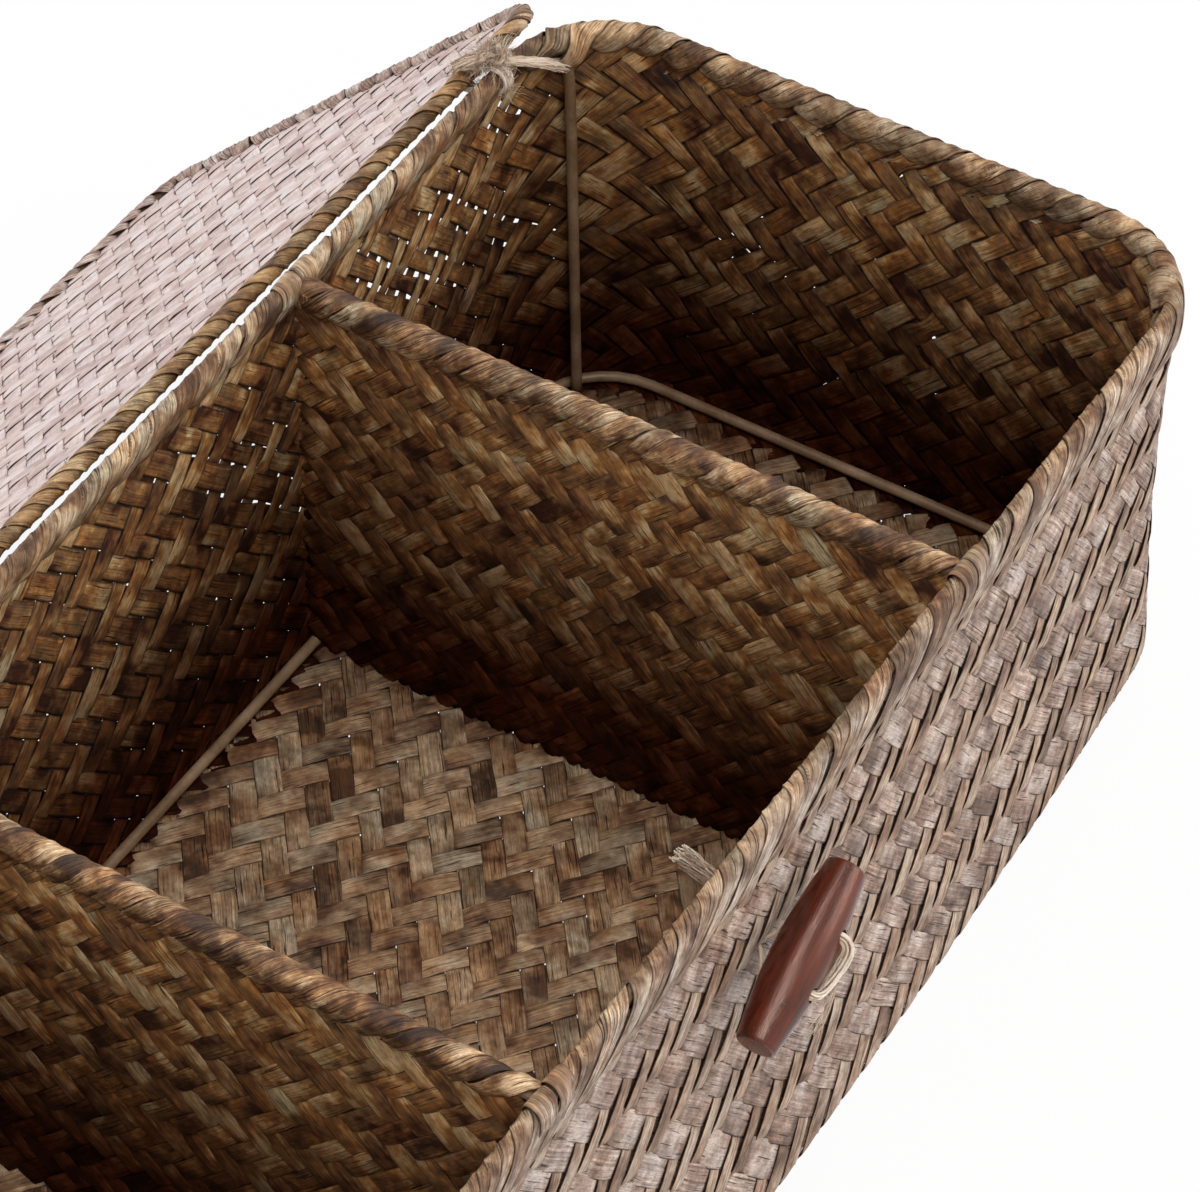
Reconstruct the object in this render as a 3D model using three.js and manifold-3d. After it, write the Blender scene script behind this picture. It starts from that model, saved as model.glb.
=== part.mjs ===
// A lidded basket for toilet paper: sedge strips woven over a painted wire frame, with two woven
// dividers, a lid tied on with jute and a wooden toggle on the front wall.
// Millimetres. The origin is the middle of the underside, +X runs along the basket, +Y points to
// the side where the lid is tied on, and +Z is up. The lid stands open, its far edge on the table.
import * as THREE from 'three';
import { mergeVertices } from 'three/addons/utils/BufferGeometryUtils.js';
import Module from 'manifold-3d';

const wasm = await Module();
wasm.setup();

// Clearances.
const GAP = 0.3; // between touching pieces

// Basket. Lengths and widths run between the centrelines of the rim.
const RIM_LENGTH = 412;
const RIM_WIDTH = 176;
const RIM_HEIGHT = 122; // centre of the rim above the table
const RIM_CORNER_RADIUS = 28;
const RIM_DIAMETER = 8;
const WEAVE_THICKNESS = 1.6; // two crossing layers of sedge strip
const WALL_OUTSET = 0.9; // the wall hangs this far outside the middle of the rim
const FOOT_SPREAD = 4.5; // each end wall stands this much further out at the foot
const FOOT_CORNER_RADIUS = 25;
const FOOT_EDGE = 2; // the strips turn from floor to wall over this height
const WAIST = 2.5; // the upright corners draw in by this much halfway up
const FRONT_BOW = 4.8; // the front wall's foot bows out this far in the middle
const FRONT_BOW_REACH = 190; // and is straight this far from the middle

// Wire frame.
const FRAME_WIRE = 2.8;
const POST_ANGLE = 54; // degrees round a corner from the end wall to its post

// Dividers.
const END_COMPARTMENT = 120; // from the rim's end to the middle of a divider
const RAIL_DROP = 2; // the rails' middles lie this far below the rim's
const RAIL_DIAMETER = 7.6;
const LASHING_WIDTH = 12;
const LASHING_THICKNESS = 0.5;
const LASHING_FROM = -40; // degrees round the rim, from straight out
const LASHING_TO = 140;

// Lid, between the centrelines of its edge.
const LID_LENGTH = RIM_LENGTH; // the lid is as long as the rim
const LID_DEPTH = 165;
const LID_CORNER_RADIUS = 12;
const LID_EDGE_DIAMETER = 6;
const LID_WIRE = 3;
const HINGE_SPACING = 9.2; // from the middle of the rim to the middle of the lid's edge
const TIE_REST_SLOPE = 23.2; // degrees that the lid's edge hangs below the rim when it is open

// Jute cord, its ties and its knots.
const JUTE_DIAMETER = 2;
const JUTE_SPACING = 2.5; // between two turns of a tie
const TIE_TURNS = 2;
const TIE_INSET = 34; // from the rim's end to the middle of a tie
const TIE_KNOT_LENGTH = 8.4;
const TIE_KNOT_WIDTH = 5.6;
const TIE_KNOT_HEIGHT = 4.8;
const TIE_TAIL = 12;

// Toggle.
const TOGGLE_LENGTH = 44;
const TOGGLE_DIAMETER = 13.5;
const TOGGLE_END_DIAMETER = 9.2;
const TOGGLE_END_ROUNDING = 0.7;
const TOGGLE_HOLE = 3.6;
const TOGGLE_HOLE_SPACING = 14.5;
const TOGGLE_X = -2.5;
const TOGGLE_DROP = 34; // its middle hangs this far below the rim's
const TOGGLE_TILT = 18.5; // degrees above level, rising towards +X
const STITCH_HEIGHT = 1.9; // the outer stitch's centre stands this far off the toggle
const KNOT_DIAMETER = 7;
const KNOT_TAIL = 22;
const KNOT_TAIL_DIAMETER = 3.6;
const KNOT_TAIL_SLOPE = 47; // degrees above level, into the basket

// Fineness of round shapes.
const CORNER_STEPS = 5;
const WIRE_SIDES = 8;
const WRAP_SIDES = 12;
const JUTE_SIDES = 6;
const TIE_STEPS = 24; // around one turn
const CORD_STEPS = 56;
const WALL_LEVELS = 5;
const FRONT_STEPS = 12;
const BARREL_STEPS = 10;
const BARREL_SIDES = 20;

const FRAME_RADIUS = FRAME_WIRE / 2;
const RIM_RADIUS = RIM_DIAMETER / 2;
const RAIL_RADIUS = RAIL_DIAMETER / 2;
const LID_EDGE_RADIUS = LID_EDGE_DIAMETER / 2;
const JUTE_RADIUS = JUTE_DIAMETER / 2;
const HALF_WEAVE = WEAVE_THICKNESS / 2;
const SLOT = WEAVE_THICKNESS + 2 * GAP; // a wrap is open this wide where the weave enters it
const WIRE_BORE = FRAME_RADIUS + GAP; // radius round a frame wire inside its wrap
const DIVIDER_X = RIM_LENGTH / 2 - END_COMPARTMENT;
const RAIL_HEIGHT = RIM_HEIGHT - RAIL_DROP;
const TOGGLE_HEIGHT = RIM_HEIGHT - TOGGLE_DROP;
const TIE_X = RIM_LENGTH / 2 - TIE_INSET;

const SEDGE_OUT = new THREE.MeshStandardMaterial({ color: 0x9c8470, roughness: 0.8, metalness: 0 });
const SEDGE_IN = new THREE.MeshStandardMaterial({ color: 0x7a5c3e, roughness: 0.75, metalness: 0 });
const SEDGE_RIM = new THREE.MeshStandardMaterial({ color: 0xa98c66, roughness: 0.7, metalness: 0 });
const SEDGE_LID = new THREE.MeshStandardMaterial({ color: 0xa28a80, roughness: 0.8, metalness: 0 });
const PAINT = new THREE.MeshStandardMaterial({ color: 0x5b4634, roughness: 0.5, metalness: 0.3 });
const JUTE = new THREE.MeshStandardMaterial({ color: 0xb79e78, roughness: 0.95, metalness: 0 });
const WOOD = new THREE.MeshStandardMaterial({ color: 0x6b2a17, roughness: 0.3, metalness: 0 });

const radians = THREE.MathUtils.degToRad;
const degrees = THREE.MathUtils.radToDeg;

// A closed body as a solid that can be joined and cut.
function solid(geometry) {
  const bare = geometry.clone();
  bare.deleteAttribute('normal');
  bare.deleteAttribute('uv');
  const merged = mergeVertices(bare, 1e-4);
  return new wasm.Manifold(new wasm.Mesh({
    numProp: 3,
    vertProperties: Float32Array.from(merged.attributes.position.array),
    triVerts: Uint32Array.from(merged.index.array),
  }));
}

// A solid back as a geometry.
function shell(body) {
  const mesh = body.getMesh();
  const geometry = new THREE.BufferGeometry();
  geometry.setAttribute('position', new THREE.BufferAttribute(Float32Array.from(mesh.vertProperties), 3));
  geometry.setIndex(new THREE.BufferAttribute(Uint32Array.from(mesh.triVerts), 1));
  geometry.computeVertexNormals();
  return geometry;
}

function cut(geometry, ...tools) {
  let body = solid(geometry);
  for (const tool of tools) {
    body = body.subtract(solid(tool));
  }
  return shell(body);
}

function join(...geometries) {
  let body = solid(geometries[0]);
  for (const other of geometries.slice(1)) {
    body = body.add(solid(other));
  }
  return shell(body);
}

// Stations round a rounded rectangle, each a point and its outward direction.
function outline(halfLength, halfWidth, radius) {
  const stations = [];
  const corners = [[1, 1], [-1, 1], [-1, -1], [1, -1]];
  corners.forEach(([sideX, sideY], corner) => {
    for (let step = 0; step <= CORNER_STEPS; step++) {
      const angle = radians(90 * (corner + step / CORNER_STEPS));
      const out = new THREE.Vector2(Math.cos(angle), Math.sin(angle));
      const centre = new THREE.Vector2(sideX * (halfLength - radius), sideY * (halfWidth - radius));
      stations.push({ point: centre.addScaledVector(out, radius), out });
    }
  });
  return stations;
}

// A skin over loops that have equal numbers of points, each loop joined to the next. A ring's
// last loop meets its first; otherwise both ends are closed by a fan round their middle.
function skin(loops, isRing) {
  const count = loops[0].length;
  const points = loops.flat();
  const faces = [];
  const spans = isRing ? loops.length : loops.length - 1;
  for (let i = 0; i < spans; i++) {
    const here = i * count;
    const there = ((i + 1) % loops.length) * count;
    for (let j = 0; j < count; j++) {
      const next = (j + 1) % count;
      faces.push(here + j, here + next, there + next, here + j, there + next, there + j);
    }
  }
  if (!isRing) {
    const last = (loops.length - 1) * count;
    for (const [start, isFirst] of [[0, true], [last, false]]) {
      const middle = new THREE.Vector3();
      for (let j = 0; j < count; j++) {
        middle.addScaledVector(points[start + j], 1 / count);
      }
      const hub = points.push(middle) - 1;
      for (let j = 0; j < count; j++) {
        const next = start + (j + 1) % count;
        faces.push(hub, isFirst ? next : start + j, isFirst ? start + j : next);
      }
    }
  }
  const geometry = new THREE.BufferGeometry().setFromPoints(points);
  geometry.setIndex(faces);
  if (signedVolume(geometry) < 0) {
    geometry.setIndex(faces.reverse());
  }
  geometry.computeVertexNormals();
  return geometry;
}

// The volume inside a geometry, negative where its faces point inwards.
function signedVolume(geometry) {
  const position = geometry.attributes.position;
  const corners = [new THREE.Vector3(), new THREE.Vector3(), new THREE.Vector3()];
  let volume = 0;
  for (let i = 0; i < geometry.index.count; i += 3) {
    corners.forEach((corner, k) => corner.fromBufferAttribute(position, geometry.index.getX(i + k)));
    volume += corners[0].dot(corners[1].cross(corners[2])) / 6;
  }
  return volume;
}

// A section of [outward, upward] points carried round a rounded rectangle at one height.
function hoop(section, halfLength, halfWidth, radius, height) {
  const loops = outline(halfLength, halfWidth, radius).map(({ point, out }) => section.map(
    ([outward, upward]) => new THREE.Vector3(
      point.x + out.x * outward,
      point.y + out.y * outward,
      height + upward,
    ),
  ));
  return skin(loops, true);
}

function circlePoints(radius, sides) {
  return Array.from({ length: sides }, (_, i) => {
    const angle = 2 * Math.PI * (i + 0.5) / sides;
    return [radius * Math.cos(angle), radius * Math.sin(angle)];
  });
}

function rectanglePoints(low, high) {
  return [[low[0], low[1]], [high[0], low[1]], [high[0], high[1]], [low[0], high[1]]];
}

function polygon(points) {
  return new THREE.Shape(points.map(([x, y]) => new THREE.Vector2(x, y)));
}

// A round bar along a curve.
function bar(curve, radius, sides, steps) {
  return new THREE.ExtrudeGeometry(polygon(circlePoints(radius, sides)), {
    steps,
    extrudePath: curve,
    bevelEnabled: false,
  });
}

function straightBar(from, to, radius, sides) {
  return bar(new THREE.LineCurve3(from, to), radius, sides, 1);
}

// A box given by two opposite corners.
function block(low, high) {
  const size = high.map((value, i) => value - low[i]);
  const box = new THREE.BoxGeometry(...size);
  return box.translate(...low.map((value, i) => value + size[i] / 2));
}

// A flat outline [y, z] made into a plate square to X, its middle plane at x = 0.
function plateAcrossX(points, thickness) {
  const plate = new THREE.ExtrudeGeometry(polygon(points), { depth: thickness, bevelEnabled: false });
  plate.translate(0, 0, -thickness / 2);
  const turn = new THREE.Matrix4().makeBasis(
    new THREE.Vector3(0, 1, 0),
    new THREE.Vector3(0, 0, 1),
    new THREE.Vector3(1, 0, 0),
  );
  return plate.applyMatrix4(turn);
}

// The woven wall's middle surface at a height: half length, half width and corner radius.
function wallAt(height) {
  const down = 1 - height / RIM_HEIGHT;
  const radiusAtRim = RIM_CORNER_RADIUS + WALL_OUTSET;
  const waist = WAIST / (Math.SQRT2 - 1) * Math.sin(Math.PI * down);
  return {
    halfLength: RIM_LENGTH / 2 + WALL_OUTSET + FOOT_SPREAD * down,
    halfWidth: RIM_WIDTH / 2 + WALL_OUTSET,
    radius: THREE.MathUtils.lerp(radiusAtRim, FOOT_CORNER_RADIUS, down) + waist,
  };
}

// How far the front wall bows out: a parabola along it that grows towards the foot.
function frontBow(x, height) {
  const down = 1 - height / RIM_HEIGHT;
  return FRONT_BOW * down ** 3 * Math.max(0, 1 - (x / FRONT_BOW_REACH) ** 2);
}

// One loop of the woven wall, set off from its middle surface, with steps along the bowed front.
function wallLoop(height, offset) {
  const { halfLength, halfWidth, radius } = wallAt(height);
  const stations = outline(halfLength, halfWidth, radius);
  const frontEnd = 3 * (CORNER_STEPS + 1);
  const [from, to] = [stations[frontEnd - 1], stations[frontEnd]];
  const between = Array.from({ length: FRONT_STEPS - 1 }, (_, i) => ({
    point: from.point.clone().lerp(to.point, (i + 1) / FRONT_STEPS),
    out: from.out,
  }));
  stations.splice(frontEnd, 0, ...between);
  return stations.map(({ point, out }) => new THREE.Vector3(
    point.x + out.x * offset,
    point.y + out.y * offset - (point.y < 0 ? frontBow(point.x, height) : 0),
    height,
  ));
}

const WALL_TOP = RIM_HEIGHT - WIRE_BORE;
const FRAME_INSET = HALF_WEAVE + GAP + FRAME_RADIUS; // wire centre inside the wall's middle
const BASE_RING_HEIGHT = WEAVE_THICKNESS + GAP + FRAME_RADIUS;

// Where the jute crosses the wall under the rim, the weave is parted this far down.
const TIE_PARTING = RIM_RADIUS + JUTE_DIAMETER + WALL_OUTSET + WEAVE_THICKNESS + 2 * GAP;
const TIE_HALF_WIDTH = TIE_TURNS * JUTE_SPACING / 2 + JUTE_RADIUS;

// The front wall's outer face where the toggle hangs.
const toggleWall = wallAt(TOGGLE_HEIGHT);
const FRONT_FACE = toggleWall.halfWidth + HALF_WEAVE;
const CORD_LEG_SPREAD = JUTE_RADIUS + GAP; // each leg of the toggle's cord from its middle
const CORD_HOLE_RADIUS = CORD_LEG_SPREAD + JUTE_RADIUS + GAP;
const TOGGLE_STANDOFF = GAP + JUTE_DIAMETER + GAP + TOGGLE_DIAMETER / 2;

const basket = new THREE.Group();

function add(group, name, geometry, material) {
  const mesh = new THREE.Mesh(geometry, material);
  mesh.name = name;
  group.add(mesh);
  return mesh;
}

// Woven body: four walls and a floor in one piece.
function wovenBody() {
  const floor = WEAVE_THICKNESS;
  const loops = [];
  loops.push(wallLoop(0, HALF_WEAVE - FOOT_EDGE));
  for (let level = 0; level <= WALL_LEVELS; level++) {
    const height = THREE.MathUtils.lerp(FOOT_EDGE, WALL_TOP, level / WALL_LEVELS);
    loops.push(wallLoop(height, HALF_WEAVE));
  }
  for (let level = WALL_LEVELS; level >= 0; level--) {
    const height = THREE.MathUtils.lerp(floor, WALL_TOP, level / WALL_LEVELS);
    loops.push(wallLoop(height, -HALF_WEAVE));
  }
  const tools = [];
  const backWall = RIM_WIDTH / 2 + WALL_OUTSET;
  for (const side of [-1, 1]) {
    const halfSlot = TIE_HALF_WIDTH + GAP;
    tools.push(block(
      [side * TIE_X - halfSlot, backWall - WEAVE_THICKNESS, RIM_HEIGHT - TIE_PARTING],
      [side * TIE_X + halfSlot, backWall + WEAVE_THICKNESS, RIM_HEIGHT],
    ));
  }
  tools.push(straightBar(
    new THREE.Vector3(TOGGLE_X, -FRONT_FACE - WEAVE_THICKNESS, TOGGLE_HEIGHT),
    new THREE.Vector3(TOGGLE_X, -FRONT_FACE + 2 * WEAVE_THICKNESS, TOGGLE_HEIGHT),
    CORD_HOLE_RADIUS,
    2 * WIRE_SIDES,
  ));
  return cut(skin(loops, false), ...tools);
}

add(basket, 'woven_body', wovenBody(), SEDGE_OUT);

// Wire frame: a ring inside the rim, a ring on the floor and a post in each corner.
function topRing() {
  const wire = circlePoints(FRAME_RADIUS, WIRE_SIDES);
  return hoop(wire, RIM_LENGTH / 2, RIM_WIDTH / 2, RIM_CORNER_RADIUS, RIM_HEIGHT);
}

function baseRing() {
  const foot = wallAt(BASE_RING_HEIGHT);
  return hoop(
    circlePoints(FRAME_RADIUS, WIRE_SIDES),
    foot.halfLength - FRAME_INSET,
    foot.halfWidth - FRAME_INSET,
    foot.radius - FRAME_INSET,
    BASE_RING_HEIGHT,
  );
}

// Where a post stands in a rounded corner, a distance inside the corner's centreline.
function cornerPoint(halfLength, halfWidth, radius, inset, height) {
  const angle = radians(POST_ANGLE);
  return new THREE.Vector3(
    halfLength - radius + (radius - inset) * Math.cos(angle),
    halfWidth - radius + (radius - inset) * Math.sin(angle),
    height,
  );
}

function cornerPost(sideX, sideY) {
  const beside = FRAME_WIRE + GAP;
  const foot = wallAt(BASE_RING_HEIGHT);
  const footPoint = cornerPoint(
    foot.halfLength - FRAME_INSET,
    foot.halfWidth - FRAME_INSET,
    foot.radius - FRAME_INSET,
    beside,
    WEAVE_THICKNESS + 2 * GAP,
  );
  const underWrap = Math.sqrt(RIM_RADIUS ** 2 - (beside - FRAME_RADIUS) ** 2);
  const headPoint = cornerPoint(
    RIM_LENGTH / 2,
    RIM_WIDTH / 2,
    RIM_CORNER_RADIUS,
    beside,
    RIM_HEIGHT - underWrap - 2 * GAP,
  );
  const side = new THREE.Vector3(sideX, sideY, 1);
  return straightBar(footPoint.multiply(side), headPoint.multiply(side), FRAME_RADIUS, WIRE_SIDES);
}

add(basket, 'frame_top_ring', topRing(), PAINT);
add(basket, 'frame_base_ring', baseRing(), PAINT);
for (const [sideX, xName] of [[1, 'right'], [-1, 'left']]) {
  for (const [sideY, yName] of [[1, 'back'], [-1, 'front']]) {
    add(basket, `frame_post_${yName}_${xName}`, cornerPost(sideX, sideY), PAINT);
  }
}

// Rim wrap: sedge wound round the top ring, open below where the wall comes up into it.
function rimWrap() {
  const size = [RIM_LENGTH / 2, RIM_WIDTH / 2, RIM_CORNER_RADIUS, RIM_HEIGHT];
  const outside = hoop(circlePoints(RIM_RADIUS, WRAP_SIDES), ...size);
  const bore = hoop(circlePoints(WIRE_BORE, WRAP_SIDES), ...size);
  const mouth = hoop(rectanglePoints(
    [WALL_OUTSET - SLOT / 2, -RIM_DIAMETER],
    [WALL_OUTSET + SLOT / 2, 0],
  ), ...size);
  const railHoles = [-DIVIDER_X, DIVIDER_X].flatMap((x) => [-1, 1].map((side) => straightBar(
    new THREE.Vector3(x, side * (RIM_WIDTH / 2 - RIM_DIAMETER), RAIL_HEIGHT),
    new THREE.Vector3(x, side * RIM_WIDTH / 2, RAIL_HEIGHT),
    WIRE_BORE,
    WIRE_SIDES,
  )));
  return cut(outside, bore, mouth, ...railHoles);
}

add(basket, 'rim_wrap', rimWrap(), SEDGE_RIM);

// Dividers: a woven panel hung from a wrapped wire rail.
function dividerPanel() {
  const foot = wallAt(0);
  const head = wallAt(WALL_TOP);
  const footReach = foot.halfWidth - HALF_WEAVE - GAP;
  const headReach = head.halfWidth - HALF_WEAVE - GAP;
  const low = WEAVE_THICKNESS + GAP;
  const wireSide = foot.halfWidth - FRAME_INSET - FRAME_RADIUS - GAP;
  const wireTop = BASE_RING_HEIGHT + FRAME_RADIUS + GAP;
  const rimSide = RIM_WIDTH / 2 - RIM_RADIUS - GAP;
  const rimLow = RIM_HEIGHT - RIM_RADIUS - GAP;
  const high = RAIL_HEIGHT - WIRE_BORE;
  const back = [
    [wireSide, low],
    [wireSide, wireTop],
    [footReach, wireTop],
    [headReach, rimLow],
    [rimSide, rimLow],
    [rimSide, high],
  ];
  const levels = Array.from({ length: WALL_LEVELS + 1 }, (_, i) => (
    THREE.MathUtils.lerp(wireTop, rimLow, i / WALL_LEVELS)
  ));
  const front = [
    [-wireSide, low],
    [-wireSide, wireTop],
    ...levels.map((height) => [-headReach - frontBow(DIVIDER_X, height), height]),
    [-rimSide, rimLow],
    [-rimSide, high],
  ];
  return plateAcrossX([...back, ...front.reverse()], WEAVE_THICKNESS);
}

function railWire() {
  const reach = RIM_WIDTH / 2 - WIRE_BORE;
  return straightBar(
    new THREE.Vector3(0, -reach, RAIL_HEIGHT),
    new THREE.Vector3(0, reach, RAIL_HEIGHT),
    FRAME_RADIUS,
    WIRE_SIDES,
  );
}

function railWrap() {
  const reach = RIM_WIDTH / 2 - RIM_RADIUS - GAP;
  const ends = [new THREE.Vector3(0, -reach, RAIL_HEIGHT), new THREE.Vector3(0, reach, RAIL_HEIGHT)];
  const past = ends.map((end) => end.clone().setY(end.y * 1.1));
  const mouth = block(
    [-SLOT / 2, past[0].y, RAIL_HEIGHT - RAIL_DIAMETER],
    [SLOT / 2, past[1].y, RAIL_HEIGHT],
  );
  return cut(
    straightBar(...ends, RAIL_RADIUS, WRAP_SIDES),
    straightBar(...past, WIRE_BORE, WRAP_SIDES),
    mouth,
  );
}

// Lashing: a broad strip over the rim where a rail meets it.
function lashing() {
  const inner = RIM_RADIUS + GAP;
  const outer = inner + LASHING_THICKNESS;
  const angles = Array.from({ length: WRAP_SIDES + 1 }, (_, i) => (
    radians(THREE.MathUtils.lerp(LASHING_FROM, LASHING_TO, i / WRAP_SIDES))
  ));
  const arc = (radius) => angles.map((angle) => [radius * Math.cos(angle), radius * Math.sin(angle)]);
  return plateAcrossX([...arc(outer), ...arc(inner).reverse()], LASHING_WIDTH);
}

for (const [side, name] of [[-1, 'left'], [1, 'right']]) {
  const divider = new THREE.Group();
  divider.position.x = side * DIVIDER_X;
  add(divider, `divider_panel_${name}`, dividerPanel(), SEDGE_IN);
  add(divider, `divider_rail_wire_${name}`, railWire(), PAINT);
  add(divider, `divider_rail_wrap_${name}`, railWrap(), SEDGE_RIM);
  for (const [end, endName, turn] of [[1, 'back', 0], [-1, 'front', Math.PI]]) {
    const strip = add(divider, `rail_lashing_${endName}_${name}`, lashing(), SEDGE_RIM);
    strip.position.set(0, end * RIM_WIDTH / 2, RIM_HEIGHT);
    strip.rotation.z = turn;
  }
  basket.add(divider);
}

// Lid: a woven sheet in a wrapped wire edge. It is drawn flat, with the tied edge along its own
// X axis and the sheet reaching out along +Y, and then leaned back until its far edge rests on
// the table.
const LID_HINGE_Y = RIM_WIDTH / 2 + HINGE_SPACING * Math.cos(radians(TIE_REST_SLOPE));
const LID_HINGE_Z = RIM_HEIGHT - HINGE_SPACING * Math.sin(radians(TIE_REST_SLOPE));
const LID_SLOPE = Math.asin((LID_HINGE_Z - LID_EDGE_RADIUS - GAP) / LID_DEPTH);
const LID_BORE = LID_WIRE / 2 + GAP;

function lidHoop(section) {
  const ring = hoop(section, LID_LENGTH / 2, LID_DEPTH / 2, LID_CORNER_RADIUS, 0);
  return ring.translate(0, LID_DEPTH / 2, 0);
}

function lidPanel() {
  const edge = outline(LID_LENGTH / 2, LID_DEPTH / 2, LID_CORNER_RADIUS).map(({ point, out }) => [
    point.x - out.x * LID_BORE,
    point.y - out.y * LID_BORE + LID_DEPTH / 2,
  ]);
  const sheet = new THREE.ExtrudeGeometry(polygon(edge), {
    depth: WEAVE_THICKNESS,
    bevelEnabled: false,
  });
  sheet.translate(0, 0, -HALF_WEAVE);
  const halfSlot = TIE_HALF_WIDTH + GAP;
  const depth = LID_EDGE_RADIUS + JUTE_DIAMETER + 2 * GAP;
  const partings = [-1, 1].map((side) => block(
    [side * TIE_X - halfSlot, 0, -WEAVE_THICKNESS],
    [side * TIE_X + halfSlot, depth, WEAVE_THICKNESS],
  ));
  return cut(sheet, ...partings);
}

function lidEdgeWrap() {
  const mouth = rectanglePoints([-LID_EDGE_DIAMETER, -SLOT / 2], [0, SLOT / 2]);
  return cut(
    lidHoop(circlePoints(LID_EDGE_RADIUS, WRAP_SIDES)),
    lidHoop(circlePoints(LID_BORE, WRAP_SIDES)),
    lidHoop(mouth),
  );
}

const lid = new THREE.Group();
lid.position.set(0, LID_HINGE_Y, LID_HINGE_Z);
lid.rotation.x = -LID_SLOPE;
add(lid, 'lid_panel', lidPanel(), SEDGE_LID);
add(lid, 'lid_edge_wire', lidHoop(circlePoints(LID_WIRE / 2, WIRE_SIDES)), PAINT);
add(lid, 'lid_edge_wrap', lidEdgeWrap(), SEDGE_RIM);
basket.add(lid);

// Hinge ties: jute wound round the rim and the lid's edge and knotted above them. A tie is drawn
// with the rim's middle at its own origin and the lid's edge out along +Y.
function tiePoints() {
  const round = [RIM_RADIUS, LID_EDGE_RADIUS].map((radius) => radius + GAP + JUTE_RADIUS);
  const touch = Math.acos((round[0] - round[1]) / HINGE_SPACING);
  const turn = [];
  const steps = TIE_STEPS / 2;
  for (let i = 0; i <= steps; i++) {
    const angle = THREE.MathUtils.lerp(touch, 2 * Math.PI - touch, i / steps);
    turn.push([round[0] * Math.cos(angle), round[0] * Math.sin(angle)]);
  }
  for (let i = 0; i <= steps; i++) {
    const angle = THREE.MathUtils.lerp(-touch, touch, i / steps);
    turn.push([HINGE_SPACING + round[1] * Math.cos(angle), round[1] * Math.sin(angle)]);
  }
  const first = turn[0];
  const last = turn[turn.length - 1];
  const start = [(first[0] + last[0]) / 2, (first[1] + last[1]) / 2];
  const loop = [start, ...turn];
  const points = [];
  const total = loop.length * TIE_TURNS;
  for (let i = 0; i <= total; i++) {
    const [y, z] = loop[i % loop.length];
    points.push(new THREE.Vector3((i / total - 0.5) * TIE_TURNS * JUTE_SPACING, y, z));
  }
  return points;
}

// The least gap between one turn of a winding and the next, measured on its points.
function windingGap(points, turns, diameter) {
  const perTurn = Math.floor((points.length - 1) / turns);
  let least = Infinity;
  points.forEach((point, i) => {
    for (let j = i + Math.floor(perTurn / 2); j < points.length; j++) {
      least = Math.min(least, point.distanceTo(points[j]) - diameter);
    }
  });
  return least;
}

function hingeTie(tailSide) {
  const points = tiePoints();
  const gap = windingGap(points, TIE_TURNS, JUTE_DIAMETER);
  console.log(`hinge tie: least gap between turns ${gap.toFixed(2)} mm`);
  const path = new THREE.CatmullRomCurve3(points, false, 'centripetal');
  const winding = bar(path, JUTE_RADIUS, JUTE_SIDES, TIE_STEPS * TIE_TURNS);
  const middle = points[0].clone().setX(0);
  middle.z += TIE_KNOT_HEIGHT / 2 - JUTE_RADIUS;
  const knot = new THREE.SphereGeometry(1, 12, 8);
  knot.scale(TIE_KNOT_LENGTH / 2, TIE_KNOT_WIDTH / 2, TIE_KNOT_HEIGHT / 2);
  knot.translate(middle.x, middle.y, middle.z);
  const tip = middle.clone();
  tip.x += tailSide * (TIE_KNOT_LENGTH / 2 + TIE_TAIL);
  return join(winding, knot, straightBar(middle, tip, JUTE_RADIUS, JUTE_SIDES));
}

for (const [side, name] of [[-1, 'left'], [1, 'right']]) {
  const tie = add(basket, `hinge_tie_${name}`, hingeTie(side), JUTE);
  tie.position.set(side * TIE_X, RIM_WIDTH / 2, RIM_HEIGHT);
  tie.rotation.x = -radians(TIE_REST_SLOPE);
}

// Toggle: a wooden barrel with two holes, stitched to the wall. It is drawn level along its own
// X axis, with -Y pointing away from the wall.
function toggleBarrel() {
  const half = TOGGLE_LENGTH / 2;
  const middle = TOGGLE_DIAMETER / 2;
  const end = TOGGLE_END_DIAMETER / 2;
  const profile = [new THREE.Vector2(0, -half), new THREE.Vector2(end - TOGGLE_END_ROUNDING, -half)];
  for (let i = 0; i <= BARREL_STEPS; i++) {
    const along = 2 * i / BARREL_STEPS - 1;
    const radius = end + (middle - end) * Math.cos(along * Math.PI / 2);
    profile.push(new THREE.Vector2(radius, along * (half - TOGGLE_END_ROUNDING)));
  }
  profile.push(new THREE.Vector2(end - TOGGLE_END_ROUNDING, half), new THREE.Vector2(0, half));
  const barrel = new THREE.LatheGeometry(profile, BARREL_SIDES).rotateZ(-Math.PI / 2);
  const holes = [-1, 1].map((side) => straightBar(
    new THREE.Vector3(side * TOGGLE_HOLE_SPACING / 2, -TOGGLE_DIAMETER, 0),
    new THREE.Vector3(side * TOGGLE_HOLE_SPACING / 2, TOGGLE_DIAMETER, 0),
    TOGGLE_HOLE / 2,
    2 * WIRE_SIDES,
  ));
  return cut(barrel, ...holes);
}

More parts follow.
